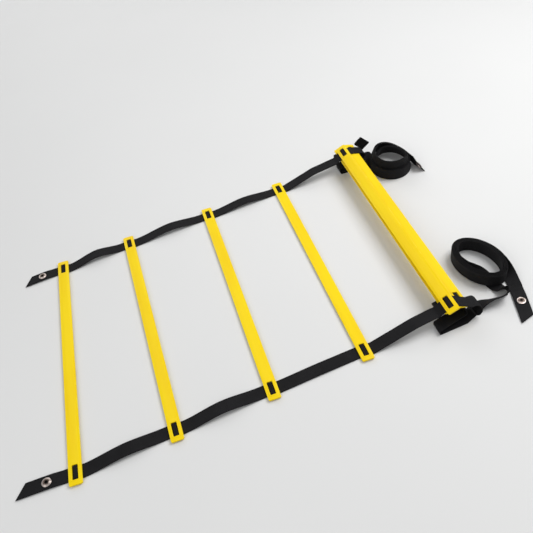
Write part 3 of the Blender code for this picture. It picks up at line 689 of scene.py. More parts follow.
@dataclass
class BackCoil(Coil):
    """The back strap's round, doubled coil, its link from the bundle and its tail."""

    place: tuple[float, float] = (0.0775, 0.1617)
    tail_turn: float = math.radians(-80.5)
    radius: float = 0.0356
    turns: float = 1.86
    rise: float = 0.0150
    rise_start: float = 0.45
    rise_turns: float = 0.65
    fold_radius: float = 0.0020
    fold_sweep: float = math.radians(225.0)
    fold_steps: int = 8
    pitch: float = 0.00215
    points: int = 48
    lean: float = math.radians(22.0)
    lean_towards: float = math.radians(80.0)
    level_turn: float = 1.30
    near_stretch: float = 1.09
    far_stretch: float = 1.32
    far_lift: float = 0.0045
    tail_reach: tuple[float, float] = (0.0030, -0.0140)
    # Share of the tail's length, and its lean there in degrees
    tail_leans: tuple[tuple[float, float], ...] = ((0.0, 100.0), (0.33, 108.0), (0.65, 117.0), (1.0, 124.0))
    tail_steps: int = 5
    link_shares: tuple[LeadPlace, ...] = (
        (-0.32, 1.46, 0.84, 8),
        (-0.04, 1.34, 0.92, 24),
        (0.03, 0.92, 0.80, 60),
        (0.01, 0.42, 0.60, 84),
    )

    def wound(self, turn: float, strand: int) -> Vector:
        """The middle of the doubled strap.

        Args:
            turn: Turns from the outer end, anticlockwise.
            strand: 0 for the strand that winds inward, 1 for the one that comes back beside it.

        Returns:
            The place.
        """
        angle = math.pi + 2 * math.pi * turn
        radius = self.radius - 2 * self.pitch * turn - strand * self.pitch
        inward = min(max((turn - self.rise_start) / self.rise_turns, 0.0), 1.0)
        height = self.rise * inward * inward * (3 - 2 * inward)
        outward = Vector((math.cos(angle), math.sin(angle), 0))
        if turn > self.level_turn:
            height = self.rise * (1 - (turn - self.level_turn) / (self.turns - self.level_turn)) ** 2
        height += self.far_lift * ((1 + outward.y) / 2) ** 2
        upright = UP * (height + HALF_WIDTH * math.cos(self.lean_at(outward)))
        outward.y *= self.near_stretch if outward.y < 0 else self.far_stretch
        return self.centre + outward * radius + upright

    def lean_at(self, outward: Vector) -> float:
        """How far the strap leans inward.

        Args:
            outward: The way from the coil's middle.

        Returns:
            The lean in radians.
        """
        towards = Vector((math.cos(self.lean_towards), math.sin(self.lean_towards), 0))
        share = (1 + outward.dot(towards)) / 2
        return self.lean * share * share * (3 - 2 * share)

    def standing(self, place: Vector) -> Station:
        """A station of the coil, its upper edge leaning inward.

        Args:
            place: The strap's middle.

        Returns:
            The station.
        """
        outward = place - self.centre
        outward.z = 0
        outward.normalize()
        lean = self.lean_at(outward)
        return Station(place, UP * math.cos(lean) - outward * math.sin(lean))

    def leaning(self, place: Vector, degrees: float) -> Station:
        """A station of the tail, its lower edge on the floor.

        Args:
            place: The strap's middle, at any height.
            degrees: Its lean.

        Returns:
            The station.
        """
        lean = math.radians(degrees)
        height = HALF_WIDTH * math.sin(lean)
        return Station(Vector((place.x, place.y, height)), StrapCurve.leaning(self.heading, lean))

    def tail(self, start: Vector, end: StrapEnd) -> list[Station]:
        """Stations of the tail, which leans over towards the coil."""
        key = [self.leaning(start + self.heading * end.length * way, lean) for way, lean in self.tail_leans]
        return StrapCurve.smooth(key, self.tail_steps)

    def stations(self, before: Station) -> list[Station]:
        """The strap from the bundle's end to the start of its tail.

        Args:
            before: The bundle's last station.

        Returns:
            The stations.
        """
        count = round(self.turns * self.points)
        inward = [self.wound(i / self.points, 0) for i in range(count + 1)]
        outward = [self.wound(i / self.points, 1) for i in range(count, -self.points // 2 - 1, -1)]
        heading = (inward[-1] - inward[-2]).normalized()
        side = (outward[0] - inward[-1]).normalized()
        middle = (inward[-1] + outward[0]) / 2 + heading * self.fold_radius * 2
        fold = []
        for step in range(self.fold_steps + 1):
            angle = self.fold_sweep * (step / self.fold_steps - 0.5)
            fold.append(middle + (heading * math.cos(angle) + side * math.sin(angle)) * self.fold_radius)
        coil = [self.standing(place) for place in inward + fold + outward]
        left = self.centre - Vector((self.radius, 0, 0))
        link = StrapCurve.led(self.link_shares, left, before, coil[0])
        end = self.leaning(coil[-1].place + Vector((*self.tail_reach, 0)), self.tail_leans[0][1])
        return [*link[1:], *coil[1:], end]


class Sections(NamedTuple):
    """Cross-sections of a strap: their arcs, places, directions across and headings."""

    arcs: np.ndarray
    places: np.ndarray
    acrosses: np.ndarray
    headings: np.ndarray


class StrapRun:
    """A whole strap as evenly spaced cross-sections, from which pieces are cut."""

    spacing = 0.0022
    least_step = 0.00004
    end_margin = 0.00001
    probe = 0.0001

    def __init__(self, stations: Iterable[Station]) -> None:
        """Spaces the stations out and finds each one's arc and heading.

        Args:
            stations: The strap's stations from its left tip on.
        """
        kept: list[Station] = []
        for station in stations:
            if kept and (station.place - kept[-1].place).length < self.least_step:
                continue
            if kept:
                before = kept[-1]
                span = (station.place - before.place).length
                for step in range(1, math.ceil(span / self.spacing)):
                    t = step / math.ceil(span / self.spacing)
                    across = before.across.lerp(station.across, t).normalized()
                    kept.append(Station(before.place.lerp(station.place, t), across))
            kept.append(station)
        self.places = np.array([station.place[:] for station in kept])
        acrosses = np.array([station.across[:] for station in kept])
        steps = np.diff(self.places, axis=0)
        self.arcs = np.concatenate([[0.0], np.cumsum(np.linalg.norm(steps, axis=1))])
        steps /= np.linalg.norm(steps, axis=1, keepdims=True)
        headings = np.vstack([steps[:1], steps[:-1] + steps[1:], steps[-1:]])
        headings /= np.linalg.norm(headings, axis=1, keepdims=True)
        self.acrosses = acrosses / np.linalg.norm(acrosses, axis=1, keepdims=True)
        self.headings = headings

    def arc_at(self, x: float) -> float:
        """Where the strap first crosses an x.

        Args:
            x: The place along the ladder.

        Returns:
            The arc there.

        Raises:
            ValueError: The strap doesn't cross it.
        """
        for index in range(len(self.arcs) - 1):
            low, high = self.places[index][0], self.places[index + 1][0]
            if low <= x < high:
                share = (x - low) / (high - low)
                return float(self.arcs[index] + share * (self.arcs[index + 1] - self.arcs[index]))
        raise ValueError(f"the strap doesn't cross x = {x}")

    def cut(self, start: float, end: float) -> Sections:
        """The cross-sections between two arcs.

        Args:
            start: The first arc.
            end: The last arc.

        Returns:
            The cross-sections, with one at each of the two arcs.
        """
        margin = self.end_margin
        inside = self.arcs[(self.arcs > start + margin) & (self.arcs < end - margin)]
        arcs = np.concatenate([[start], inside, [end]])

        def along(values: np.ndarray) -> np.ndarray:
            """Values at the arcs, between the stations."""
            return np.stack([np.interp(arcs, self.arcs, values[:, axis]) for axis in range(3)], axis=1)

        headings, acrosses = along(self.headings), along(self.acrosses)
        headings /= np.linalg.norm(headings, axis=1, keepdims=True)
        acrosses /= np.linalg.norm(acrosses, axis=1, keepdims=True)
        return Sections(arcs, along(self.places), acrosses, headings)

    def place_at(self, arc: float) -> Vector:
        """The strap's middle at an arc."""
        return Vector(self.cut(arc, arc + self.probe).places[0])

    def seat_at(self, arc: float) -> Matrix:
        """Where a stud sits on the strap.

        Args:
            arc: The stud's place along the strap.

        Returns:
            Its matrix: X along the strap, Y across it and Z out of its upper face.
        """
        _, places, acrosses, headings = self.cut(arc, arc + self.probe)
        heading, across = Vector(headings[0]), Vector(acrosses[0])
        across = (across - heading * across.dot(heading)).normalized()
        axes = Matrix((heading, across, heading.cross(across))).transposed().to_4x4()
        return Matrix.Translation(places[0]) @ axes


class Hands:
    """What the hand does before and after it models a piece."""

    @staticmethod
    def clear() -> None:
        """Deselects everything."""
        bpy.ops.object.select_all(action="DESELECT")

    @staticmethod
    def take(piece: bpy.types.Object) -> None:
        """Selects one piece and makes it active.

        Args:
            piece: The piece.
        """
        Hands.clear()
        piece.select_set(True)
        bpy.context.view_layer.objects.active = piece

    @staticmethod
    def named(name: str) -> bpy.types.Object:
        """Names the piece that was just added.

        Args:
            name: The name for it and its mesh.

        Returns:
            The piece.
        """
        piece = bpy.context.view_layer.objects.active
        piece.name = name
        piece.data.name = name
        return piece

    @staticmethod
    def apply(piece: bpy.types.Object) -> None:
        """Applies all of a piece's modifiers.

        Args:
            piece: The piece.
        """
        Hands.take(piece)
        for modifier in list(piece.modifiers):
            bpy.ops.object.modifier_apply(modifier=modifier.name)

    @staticmethod
    def copy(piece: bpy.types.Object, name: str, matrix: Matrix) -> bpy.types.Object:
        """A copy with its own mesh, moved in its mesh.

        Args:
            piece: What is copied.
            name: The copy's name.
            matrix: Where its mesh goes.

        Returns:
            The copy, with its object at the origin.
        """
        made = piece.copy()
        made.data = piece.data.copy()
        made.name = made.data.name = name
        made.data.transform(matrix)
        bpy.context.scene.collection.objects.link(made)
        return made

    @staticmethod
    def dress(piece: bpy.types.Object, material: bpy.types.Material) -> bpy.types.Object:
        """Gives a piece its only material.

        Args:
            piece: The piece.
            material: Its material.

        Returns:
            The same piece.
        """
        piece.data.materials.clear()
        piece.data.materials.append(material)
        return piece

    @staticmethod
    def new_map(piece: bpy.types.Object, name: str) -> bpy.types.MeshUVLoopLayer:
        """Gives a piece one empty UV map.

        Args:
            piece: The piece.
            name: The map's name.

        Returns:
            The map.
        """
        mesh = piece.data
        while mesh.uv_layers:
            mesh.uv_layers.remove(mesh.uv_layers[0])
        return mesh.uv_layers.new(name=name)


@dataclass
class Webbing:
    """Flat woven strap: a ribbed strip of cloth laid along a route and given its thickness."""

    ribs: int = WEBBING_RIBS
    rib_height: float = 0.00011
    core: float = 0.00098
    selvedge: float = 0.00028
    selvedge_steps: int = 2
    selvedge_angle: float = math.radians(60.0)
    smooth_angle: float = math.radians(50.0)
    tip_reach: float = 0.0260

    def lay(
        self,
        name: str,
        run: StrapRun,
        start: float,
        end: float,
        tip_at_start: float = 0.0,
        tip_at_end: float = 0.0,
    ) -> bpy.types.Object:
        """Lays webbing along part of a run.

        Args:
            name: The piece's name.
            run: The strap's route.
            start: The arc where the piece starts.
            end: The arc where it ends.
            tip_at_start: How far the low edge runs past the high edge at the start.
            tip_at_end: The same at the end.

        Returns:
            The piece.
        """
        arcs, places, acrosses, headings = run.cut(start, end)
        columns, rows = 2 * self.ribs, len(arcs) - 1
        Hands.clear()
        bpy.ops.mesh.primitive_grid_add(x_subdivisions=columns, y_subdivisions=rows, size=1, calc_uvs=True)
        piece = Hands.named(name)
        flat = np.empty(len(piece.data.vertices) * 3)
        piece.data.vertices.foreach_get("co", flat)
        flat = flat.reshape(-1, 3)
        column = np.rint((flat[:, 0] + 0.5) * columns).astype(int)
        row = np.rint((flat[:, 1] + 0.5) * rows).astype(int)
        share = column / columns
        normals = np.cross(headings, acrosses)
        normals /= np.linalg.norm(normals, axis=1, keepdims=True)
        rib = np.where(column % 2 == 1, self.rib_height, 0.0)
        slip = tip_at_start * (0.5 - share) * -np.clip(1 - (arcs[row] - start) / self.tip_reach, 0, 1)
        slip += tip_at_end * (0.5 - share) * np.clip(1 - (end - arcs[row]) / self.tip_reach, 0, 1)
        laid = places[row] + acrosses[row] * ((share - 0.5) * WEBBING_WIDTH)[:, None]
        laid += normals[row] * rib[:, None] + headings[row] * slip[:, None]
        piece.data.vertices.foreach_set("co", laid.ravel())
        self.unroll(piece, share, arcs[row] + slip)
        self.thicken(piece)
        return piece

    def thicken(self, piece: bpy.types.Object) -> None:
        """Gives the strip its thickness and rounds its selvedges.

        Args:
            piece: The strip.
        """
        thickness = piece.modifiers.new("thickness", "SOLIDIFY")
        thickness.thickness = self.core
        thickness.offset = 0.0
        thickness.use_even_offset = False
        Hands.apply(piece)
        bpy.ops.object.mode_set(mode="EDIT")
        bpy.ops.mesh.select_mode(type="EDGE")
        bpy.ops.mesh.select_all(action="DESELECT")
        bpy.ops.mesh.edges_select_sharp(sharpness=self.selvedge_angle)
        bpy.ops.mesh.bevel(
            offset=self.selvedge, segments=self.selvedge_steps, profile=0.5, clamp_overlap=True
        )
        bpy.ops.object.mode_set(mode="OBJECT")
        bpy.ops.object.shade_smooth_by_angle(angle=self.smooth_angle)

    @staticmethod
    def unroll(piece: bpy.types.Object, share: np.ndarray, lengths: np.ndarray) -> None:
        """Writes the strap's own map: U across it, V along it in widths.

        Args:
            piece: The strip, still without thickness.
            share: Each vertex's share of the way across.
            lengths: Each vertex's place along the strap.
        """
        mesh = piece.data
        mesh.uv_layers[0].name = "webbing"
        corners = np.empty(len(mesh.loops), np.int32)
        mesh.loops.foreach_get("vertex_index", corners)
        flat = np.stack([share[corners], lengths[corners] / WEBBING_WIDTH], axis=1)
        mesh.uv_layers[0].data.foreach_set("uv", flat.ravel())


@dataclass
class Rung:
    """A moulded bar with a window at each end, crossed lengthwise by a thin bar."""

    length: float = RUNG_LENGTH
    width: float = RUNG_WIDTH
    thickness: float = RUNG_THICKNESS
    corner_radius: float = 0.0022
    corner_steps: int = 6
    edge_radius: float = 0.00045
    edge_steps: int = 3
    edge_angle: float = math.radians(40.0)
    smooth_angle: float = math.radians(35.0)
    crown: float = 0.00030
    crown_steps: int = 8
    rim_width: float = 0.0019
    rim_height: float = 0.00022
    rim_corner: float = 0.0024
    window_corner: float = 0.0010
    bar_depth: float = 0.0008
    bar_root: float = 0.0006
    bar_corner: float = 0.0003

    def block(self, size: tuple[float, float, float], place: Vector, corner: float) -> bpy.types.Object:
        """A block with rounded upright corners.

        Args:
            size: Its three sides.
            place: Its middle.
            corner: The radius of its upright corners.

        Returns:
            The block, with its place in its mesh.
        """
        Hands.clear()
        bpy.ops.mesh.primitive_cube_add(size=1, location=place, scale=size)
        block = Hands.named("rung_block")
        bpy.ops.object.transform_apply(location=True, rotation=True, scale=True)
        heights = [vertex.co.z for vertex in block.data.vertices]
        upright = []
        for edge in block.data.edges:
            low, high = edge.vertices
            if abs(heights[low] - heights[high]) > size[2] / 2:
                upright.append(edge.index)
        self.bevel(block, upright, corner)
        return block

    def bevel(self, piece: bpy.types.Object, edges: Sequence[int], offset: float) -> None:
        """Rounds some of a piece's edges.

        Args:
            piece: The piece.
            edges: The edges' numbers.
            offset: The radius.
        """
        Hands.take(piece)
        bpy.ops.object.mode_set(mode="EDIT")
        bpy.ops.mesh.select_mode(type="EDGE")
        bpy.ops.mesh.select_all(action="DESELECT")
        bpy.ops.object.mode_set(mode="OBJECT")
        for index in edges:
            piece.data.edges[index].select = True
        bpy.ops.object.mode_set(mode="EDIT")
        bpy.ops.mesh.bevel(offset=offset, segments=self.corner_steps, profile=0.5, clamp_overlap=True)
        bpy.ops.object.mode_set(mode="OBJECT")

    @staticmethod
    def combine(piece: bpy.types.Object, other: bpy.types.Object, operation: str) -> None:
        """Joins another piece on, or cuts it out, and removes it.

        Args:
            piece: The piece that stays.
            other: The piece that is joined on or cut out.
            operation: UNION or DIFFERENCE.
        """
        step = piece.modifiers.new(operation.lower(), "BOOLEAN")
        step.operation = operation
        step.solver = "EXACT"
        step.object = other
        Hands.apply(piece)
        bpy.data.objects.remove(other, do_unlink=True)

    def raise_crown(self, rung: bpy.types.Object) -> None:
        """Cuts the bar lengthwise and lets its top fall towards both long edges.

        Args:
            rung: The bar.
        """
        Hands.take(rung)
        bpy.ops.object.mode_set(mode="EDIT")
        for step in range(1, self.crown_steps):
            bpy.ops.mesh.select_all(action="SELECT")
            place = ((2 * step / self.crown_steps - 1) * self.width / 2, 0, 0)
            bpy.ops.mesh.bisect(plane_co=place, plane_no=(1, 0, 0))
        bpy.ops.object.mode_set(mode="OBJECT")
        for vertex in rung.data.vertices:
            if vertex.co.z > 0:
                vertex.co.z -= self.crown * (2 * vertex.co.x / self.width) ** 2

    def open_window(self, rung: bpy.types.Object, along: float) -> None:
        """Raises a rim and cuts the window inside it.

        Args:
            rung: The bar.
            along: The window's place along it.
        """
        height = self.thickness / 2 + self.rim_height
        rim_size = (WINDOW_WIDTH + 2 * self.rim_width, WINDOW_LENGTH + 2 * self.rim_width, height)
        rim = self.block(rim_size, Vector((0, along, height / 2)), self.rim_corner)
        self.combine(rung, rim, "UNION")
        opening_size = (WINDOW_WIDTH, WINDOW_LENGTH, 3 * self.thickness)
        opening = self.block(opening_size, Vector((0, along, 0)), self.window_corner)
        self.combine(rung, opening, "DIFFERENCE")

    def cross_window(self, rung: bpy.types.Object, along: float) -> None:
        """Lays the thin bar lengthwise through a window.

        Args:
            rung: The bar of the rung.
            along: The window's place along it.
        """
        size = (BAR_WIDTH, WINDOW_LENGTH + 2 * self.bar_root, self.bar_depth)
        height = BAR_TOP - self.bar_depth / 2 - self.thickness / 2
        self.combine(rung, self.block(size, Vector((0, along, height)), self.bar_corner), "UNION")

    def pattern(self) -> bpy.types.Object:
        """Models the rung that the others copy.

        Returns:
            The rung, at the origin.
        """
        rung = self.block((self.width, self.length, self.thickness), Vector(), self.corner_radius)
        self.raise_crown(rung)
        for side in Side:
            self.open_window(rung, side.value * WINDOW_OFFSET)
        eased = rung.modifiers.new("eased edges", "BEVEL")
        eased.width = self.edge_radius
        eased.segments = self.edge_steps
        eased.limit_method = "ANGLE"
        eased.angle_limit = self.edge_angle
        eased.use_clamp_overlap = True
        Hands.apply(rung)
        for side in Side:
            self.cross_window(rung, side.value * WINDOW_OFFSET)
        Hands.take(rung)
        bpy.ops.object.shade_smooth_by_angle(angle=self.smooth_angle)
        self.map_sides(rung)
        return rung

    def map_sides(self, rung: bpy.types.Object) -> None:
        """Writes the rung's own map: U across it from -1 to 1, V along it in half lengths.

        Args:
            rung: The rung.
        """
        layer = Hands.new_map(rung, "rung")
        for loop in rung.data.loops:
            co = rung.data.vertices[loop.vertex_index].co
            layer.data[loop.index].uv = (2 * co.x / self.width, 2 * co.y / self.length)


@dataclass
class PressStud:
    """A sprung socket over the strap and the cap whose hollow post holds it."""

    socket_radius: float = 0.0065
    height: float = 0.0018
    floor: float = 0.0005
    mouth: float = 0.0024
    mouth_ease: float = 0.0001
    post_hole: float = 0.0018
    post_radius: float = 0.0014
    bore: float = 0.0009
    axis_gap: float = 0.0002
    sides: int = 64
    merge_distance: float = 0.000005
    smooth_angle: float = math.radians(50.0)
    # The socket's rings: shares of its radius and of its height, from its under edge inwards
    rings: tuple[tuple[float, float], ...] = (
        (0.985, 0.0), (1.0, 0.12), (0.995, 0.26), (0.96, 0.40), (0.90, 0.50), (0.84, 0.55), (0.805, 0.56),
        (0.785, 0.52), (0.76, 0.52), (0.74, 0.58), (0.71, 0.74), (0.66, 0.90), (0.61, 0.985), (0.56, 1.0),
        (0.52, 0.975), (0.49, 0.90), (0.47, 0.86), (0.44, 0.85), (0.41, 0.88),
    )
    # The clenched head of the post: radius, and height over its seat
    head: tuple[tuple[float, float], ...] = (
        (0.0010, 0.0001), (0.0012, 0.0003), (0.0017, 0.0003), (0.0020, 0.0001), (0.0020, 0.0),
        (0.0014, -0.0001),
    )
    # The cap's dome: shares of its radius and of its thickness, from the strap down and inwards
    dome: tuple[tuple[float, float], ...] = (
        (0.8, 0.0), (0.95, 0.12), (1.0, 0.35), (1.0, 0.60), (0.95, 0.85), (0.84, 1.0), (0.40, 1.0),
        (0.34, 0.8),
    )

    @property
    def socket_profile(self) -> list[tuple[float, float]]:
        """The socket's outline.

        Returns:
            Radius and height of each ring, over the rings, into the mouth and back under it.
        """
        outline = [(across * self.socket_radius, up * self.height) for across, up in self.rings]
        outline += [(self.mouth + self.mouth_ease, 0.86 * self.height), (self.mouth, 0.78 * self.height)]
        return outline + [(self.mouth, self.floor), (self.post_hole, self.floor), (self.post_hole, 0.0)]

    @property
    def cap_profile(self) -> list[tuple[float, float]]:
        """The outline of the cap and its post.

        Returns:
            Radius and height of each ring, from the bore over the head and down to the dome.
        """
        above = HALF_THICKNESS + CLEARANCE
        seat = above + self.floor + CLEARANCE * 0.8
        outline = [(self.axis_gap, above * 0.4), (self.bore, above * 0.4)]
        outline += [(radius, seat + up) for radius, up in self.head]
        outline.append((self.post_radius, -above))
        outline += [(share * CAP_RADIUS, -above - drop * CAP_THICKNESS) for share, drop in self.dome]
        return outline + [(self.axis_gap, outline[-1][1])]

    def turn(self, name: str, profile: Sequence[tuple[float, float]], ring: bool) -> bpy.types.Object:
        """A turned piece, drawn up ring by ring from a circle.

        Args:
            name: The piece's name.
            profile: Radius and height of each ring, in order.
            ring: Whether the last ring joins the first, or each is closed by a face.

        Returns:
            The piece, with its axis on Z.
        """
        Hands.clear()
        radius, height = profile[0]
        bpy.ops.mesh.primitive_circle_add(
            vertices=self.sides, radius=radius, fill_type="NOTHING", location=(0, 0, height)
        )
        piece = Hands.named(name)
        bpy.ops.object.transform_apply(location=True, rotation=True, scale=True)
        bpy.ops.object.mode_set(mode="EDIT")
        bpy.ops.mesh.select_all(action="SELECT")
        if not ring:
            bpy.ops.mesh.edge_face_add()
        bpy.ops.mesh.select_mode(type="EDGE")
        for (r, z), (next_r, next_z) in zip(profile, profile[1:]):
            bpy.ops.mesh.extrude_edges_move(TRANSFORM_OT_translate={"value": (0, 0, next_z - z)})
            bpy.ops.transform.resize(value=(next_r / r, next_r / r, 1), center_override=(0, 0, 0))
        if ring:
            bpy.ops.mesh.select_all(action="DESELECT")
            bpy.ops.mesh.select_non_manifold(
                extend=False, use_wire=False, use_boundary=True, use_multi_face=False,
                use_non_contiguous=False, use_verts=False,
            )
            bpy.ops.mesh.bridge_edge_loops()
        else:
            bpy.ops.mesh.edge_face_add()
        bpy.ops.mesh.select_all(action="SELECT")
        bpy.ops.mesh.remove_doubles(threshold=self.merge_distance)
        bpy.ops.mesh.normals_make_consistent(inside=False)
        bpy.ops.object.mode_set(mode="OBJECT")
        bpy.ops.object.shade_smooth_by_angle(angle=self.smooth_angle)
        self.map_rings(piece)
        return piece

    @staticmethod
    def map_rings(piece: bpy.types.Object) -> None:
        """Writes the stud's own map: U is the distance from the axis in millimetres, V the height.

        Args:
            piece: The turned piece.
        """
        layer = Hands.new_map(piece, "stud")
        for loop in piece.data.loops:
            co = piece.data.vertices[loop.vertex_index].co
            layer.data[loop.index].uv = (math.hypot(co.x, co.y) * 1000, co.z * 1000)


class NodePlan:
    """A material under construction: its nodes, its links and its shader."""

    # A Mix node's sockets for two colours and their mix
    first_colour, second_colour, mixed_colour = 6, 7, 2

    def __init__(self, name: str) -> None:
        """Starts a material with a Principled BSDF.

        Args:
            name: The material's name.
        """
        self.material = bpy.data.materials.new(name)
        self.material.use_nodes = True
        self.tree = self.material.node_tree
        self.shader = self.tree.nodes["Principled BSDF"]

    def node(self, kind: str, **settings: object) -> bpy.types.Node:
        """A new node.

        Args:
            kind: Its type.
            **settings: Its settings.

        Returns:
            The node.
        """
        made = self.tree.nodes.new(kind)
        for key, value in settings.items():
            setattr(made, key, value)
        return made

    def link(self, source: bpy.types.NodeSocket, target: bpy.types.NodeSocket) -> None:
        """Joins two sockets."""
        self.tree.links.new(source, target)

    def math(self, operation: str, first: object, second: object = 0.0) -> bpy.types.NodeSocket:
        """A Math node's result.

        Args:
            operation: What it does.
            first: Its first value or socket.
            second: Its second value or socket.

        Returns:
            The result's socket.
        """
        made = self.node("ShaderNodeMath", operation=operation)
        for socket, value in zip(made.inputs, (first, second)):
            if isinstance(value, bpy.types.NodeSocket):
                self.link(value, socket)
            else:
                socket.default_value = value
        return made.outputs[0]

    def noise(self, vector: bpy.types.NodeSocket, scale: float, detail: float = 4.0) -> bpy.types.NodeSocket:
        """A noise pattern.

        Args:
            vector: What it lies over.
            scale: How fine it is.
            detail: How many finer layers it has.

        Returns:
            Its value's socket.
        """
        made = self.node("ShaderNodeTexNoise")
        made.inputs["Scale"].default_value = scale
        made.inputs["Detail"].default_value = detail
        self.link(vector, made.inputs["Vector"])
        return made.outputs["Fac"]

    def stretched(
        self, vector: bpy.types.NodeSocket, scale: tuple[float, float, float]
    ) -> bpy.types.NodeSocket:
        """A vector stretched by a Mapping node.

        Args:
            vector: The vector's socket.
            scale: What each of its parts is multiplied by.

        Returns:
            The result's socket.
        """
        made = self.node("ShaderNodeMapping")
        made.inputs["Scale"].default_value = scale
        self.link(vector, made.inputs["Vector"])
        return made.outputs["Vector"]

    def ranged(
        self, value: bpy.types.NodeSocket, low: float, high: float, to_low: float = 0.0, to_high: float = 1.0
    ) -> bpy.types.NodeSocket:
        """A value moved smoothly from one range to another.

        Args:
            value: The value's socket.
            low: Where the range starts.
            high: Where it ends.
            to_low: What its start becomes.
            to_high: What its end becomes.

        Returns:
            The result's socket.
        """
        made = self.node("ShaderNodeMapRange", interpolation_type="SMOOTHSTEP")
        for name, number in (("From Min", low), ("From Max", high), ("To Min", to_low), ("To Max", to_high)):
            made.inputs[name].default_value = number
        self.link(value, made.inputs["Value"])
        return made.outputs["Result"]

    def mixed(
        self,
        share: bpy.types.NodeSocket,
        first: "tuple[float, float, float] | bpy.types.NodeSocket",
        second: tuple[float, float, float],
    ) -> bpy.types.NodeSocket:
        """A colour mixed from two.

        Args:
            share: How much of the second shows.
            first: The first colour, or its socket.
            second: The second colour.

        Returns:
            The colour's socket.
        """
        made = self.node("ShaderNodeMix", data_type="RGBA")
        self.link(share, made.inputs["Factor"])
        if isinstance(first, bpy.types.NodeSocket):
            self.link(first, made.inputs[self.first_colour])
        else:
            made.inputs[self.first_colour].default_value = (*first, 1)
        made.inputs[self.second_colour].default_value = (*second, 1)
        return made.outputs[self.mixed_colour]

    def parts(self, vector: bpy.types.NodeSocket) -> bpy.types.bpy_prop_collection:
        """A vector's three parts.

        Args:
            vector: The vector's socket.

        Returns:
            Their sockets.
        """
        made = self.node("ShaderNodeSeparateXYZ")
        self.link(vector, made.inputs[0])
        return made.outputs

    def object_place(self) -> bpy.types.NodeSocket:
        """A point's place on its object."""
        return self.node("ShaderNodeTexCoord").outputs["Object"]

    def own_map(self, name: str) -> bpy.types.NodeSocket:
        """A point's place on the piece's own UV map."""
        return self.node("ShaderNodeUVMap", uv_map=name).outputs["UV"]

    def constants(self, **values: float) -> None:
        """Sets constants on the shader's own sockets, named with underscores for spaces."""
        for name, value in values.items():
            self.shader.inputs[name.replace("_", " ")].default_value = value

    def bump(self, height: bpy.types.NodeSocket, distance: float, strength: float = 1.0) -> None:
        """Gives the shader bumps, over any that it has.

        Args:
            height: The height's socket.
            distance: The bumps' height in metres.
            strength: How far they turn the light.
        """
        made = self.node("ShaderNodeBump")
        made.inputs["Strength"].default_value = strength
        made.inputs["Distance"].default_value = distance
        self.link(height, made.inputs["Height"])
        normal = self.shader.inputs["Normal"]
        if normal.is_linked:
            self.link(normal.links[0].from_socket, made.inputs["Normal"])
        self.link(made.outputs["Normal"], normal)


@dataclass(frozen=True)
class YellowPlastic:
    """Moulded golden yellow plastic with a fine grain, flow marks, and long edges lightened in scuffed
    patches as a painted highlight.
    """

    colour: tuple[float, float, float] = (0.93, 0.68, 0.004)
    deep: tuple[float, float, float] = (0.90, 0.62, 0.003)
    # Lighter lemon, painted as a highlight on the long edges where they are scuffed
    edge_highlight_and_scuff: tuple[float, float, float] = (0.96, 0.80, 0.06)
    roughness: tuple[float, float] = (0.40, 0.52)
    hair_roughness: float = 0.10
    shine: float = 0.16
    edge_highlight_from: float = 0.86
    grain_height: float = 0.00002
    flow_height: float = 0.00016

    def material(self) -> bpy.types.Material:
        """The plastic as nodes.

        Returns:
            The material.
        """
        plan = NodePlan("yellow_plastic")
        place = plan.object_place()
        across = plan.parts(plan.own_map("rung"))[0]
        flow = plan.noise(plan.stretched(place, (14, 2.2, 14)), 3.0, 3.0)
        tint = plan.mixed(plan.ranged(flow, 0.35, 0.7), self.colour, self.deep)
        # Painted highlight: the long edges are lightened towards a lemon colour, in patches set by the scuff
        # noise
        edge = plan.ranged(plan.math("ABSOLUTE", across), self.edge_highlight_from, 1.0)
        scuff = plan.ranged(plan.noise(plan.stretched(place, (220, 60, 220)), 1.0, 6.0), 0.5, 0.68)
        tint = plan.mixed(plan.math("MULTIPLY", edge, scuff), tint, self.edge_highlight_and_scuff)
        plan.link(tint, plan.shader.inputs["Base Color"])
        hairs = plan.noise(plan.stretched(place, (1400, 26, 1400)), 1.0, 2.0)
        hairs = plan.ranged(hairs, 0.6, 0.8, 0, self.hair_roughness)
        rough = plan.ranged(plan.noise(place, 90.0, 5.0), 0.3, 0.7, *self.roughness)
        plan.link(plan.math("ADD", rough, hairs), plan.shader.inputs["Roughness"])
        plan.bump(plan.noise(place, 2600.0, 2.0), self.grain_height, 0.35)
        plan.bump(plan.noise(plan.stretched(place, (60, 9, 60)), 1.0, 2.0), self.flow_height, 0.30)
        plan.constants(Specular_IOR_Level=self.shine)
        return plan.material


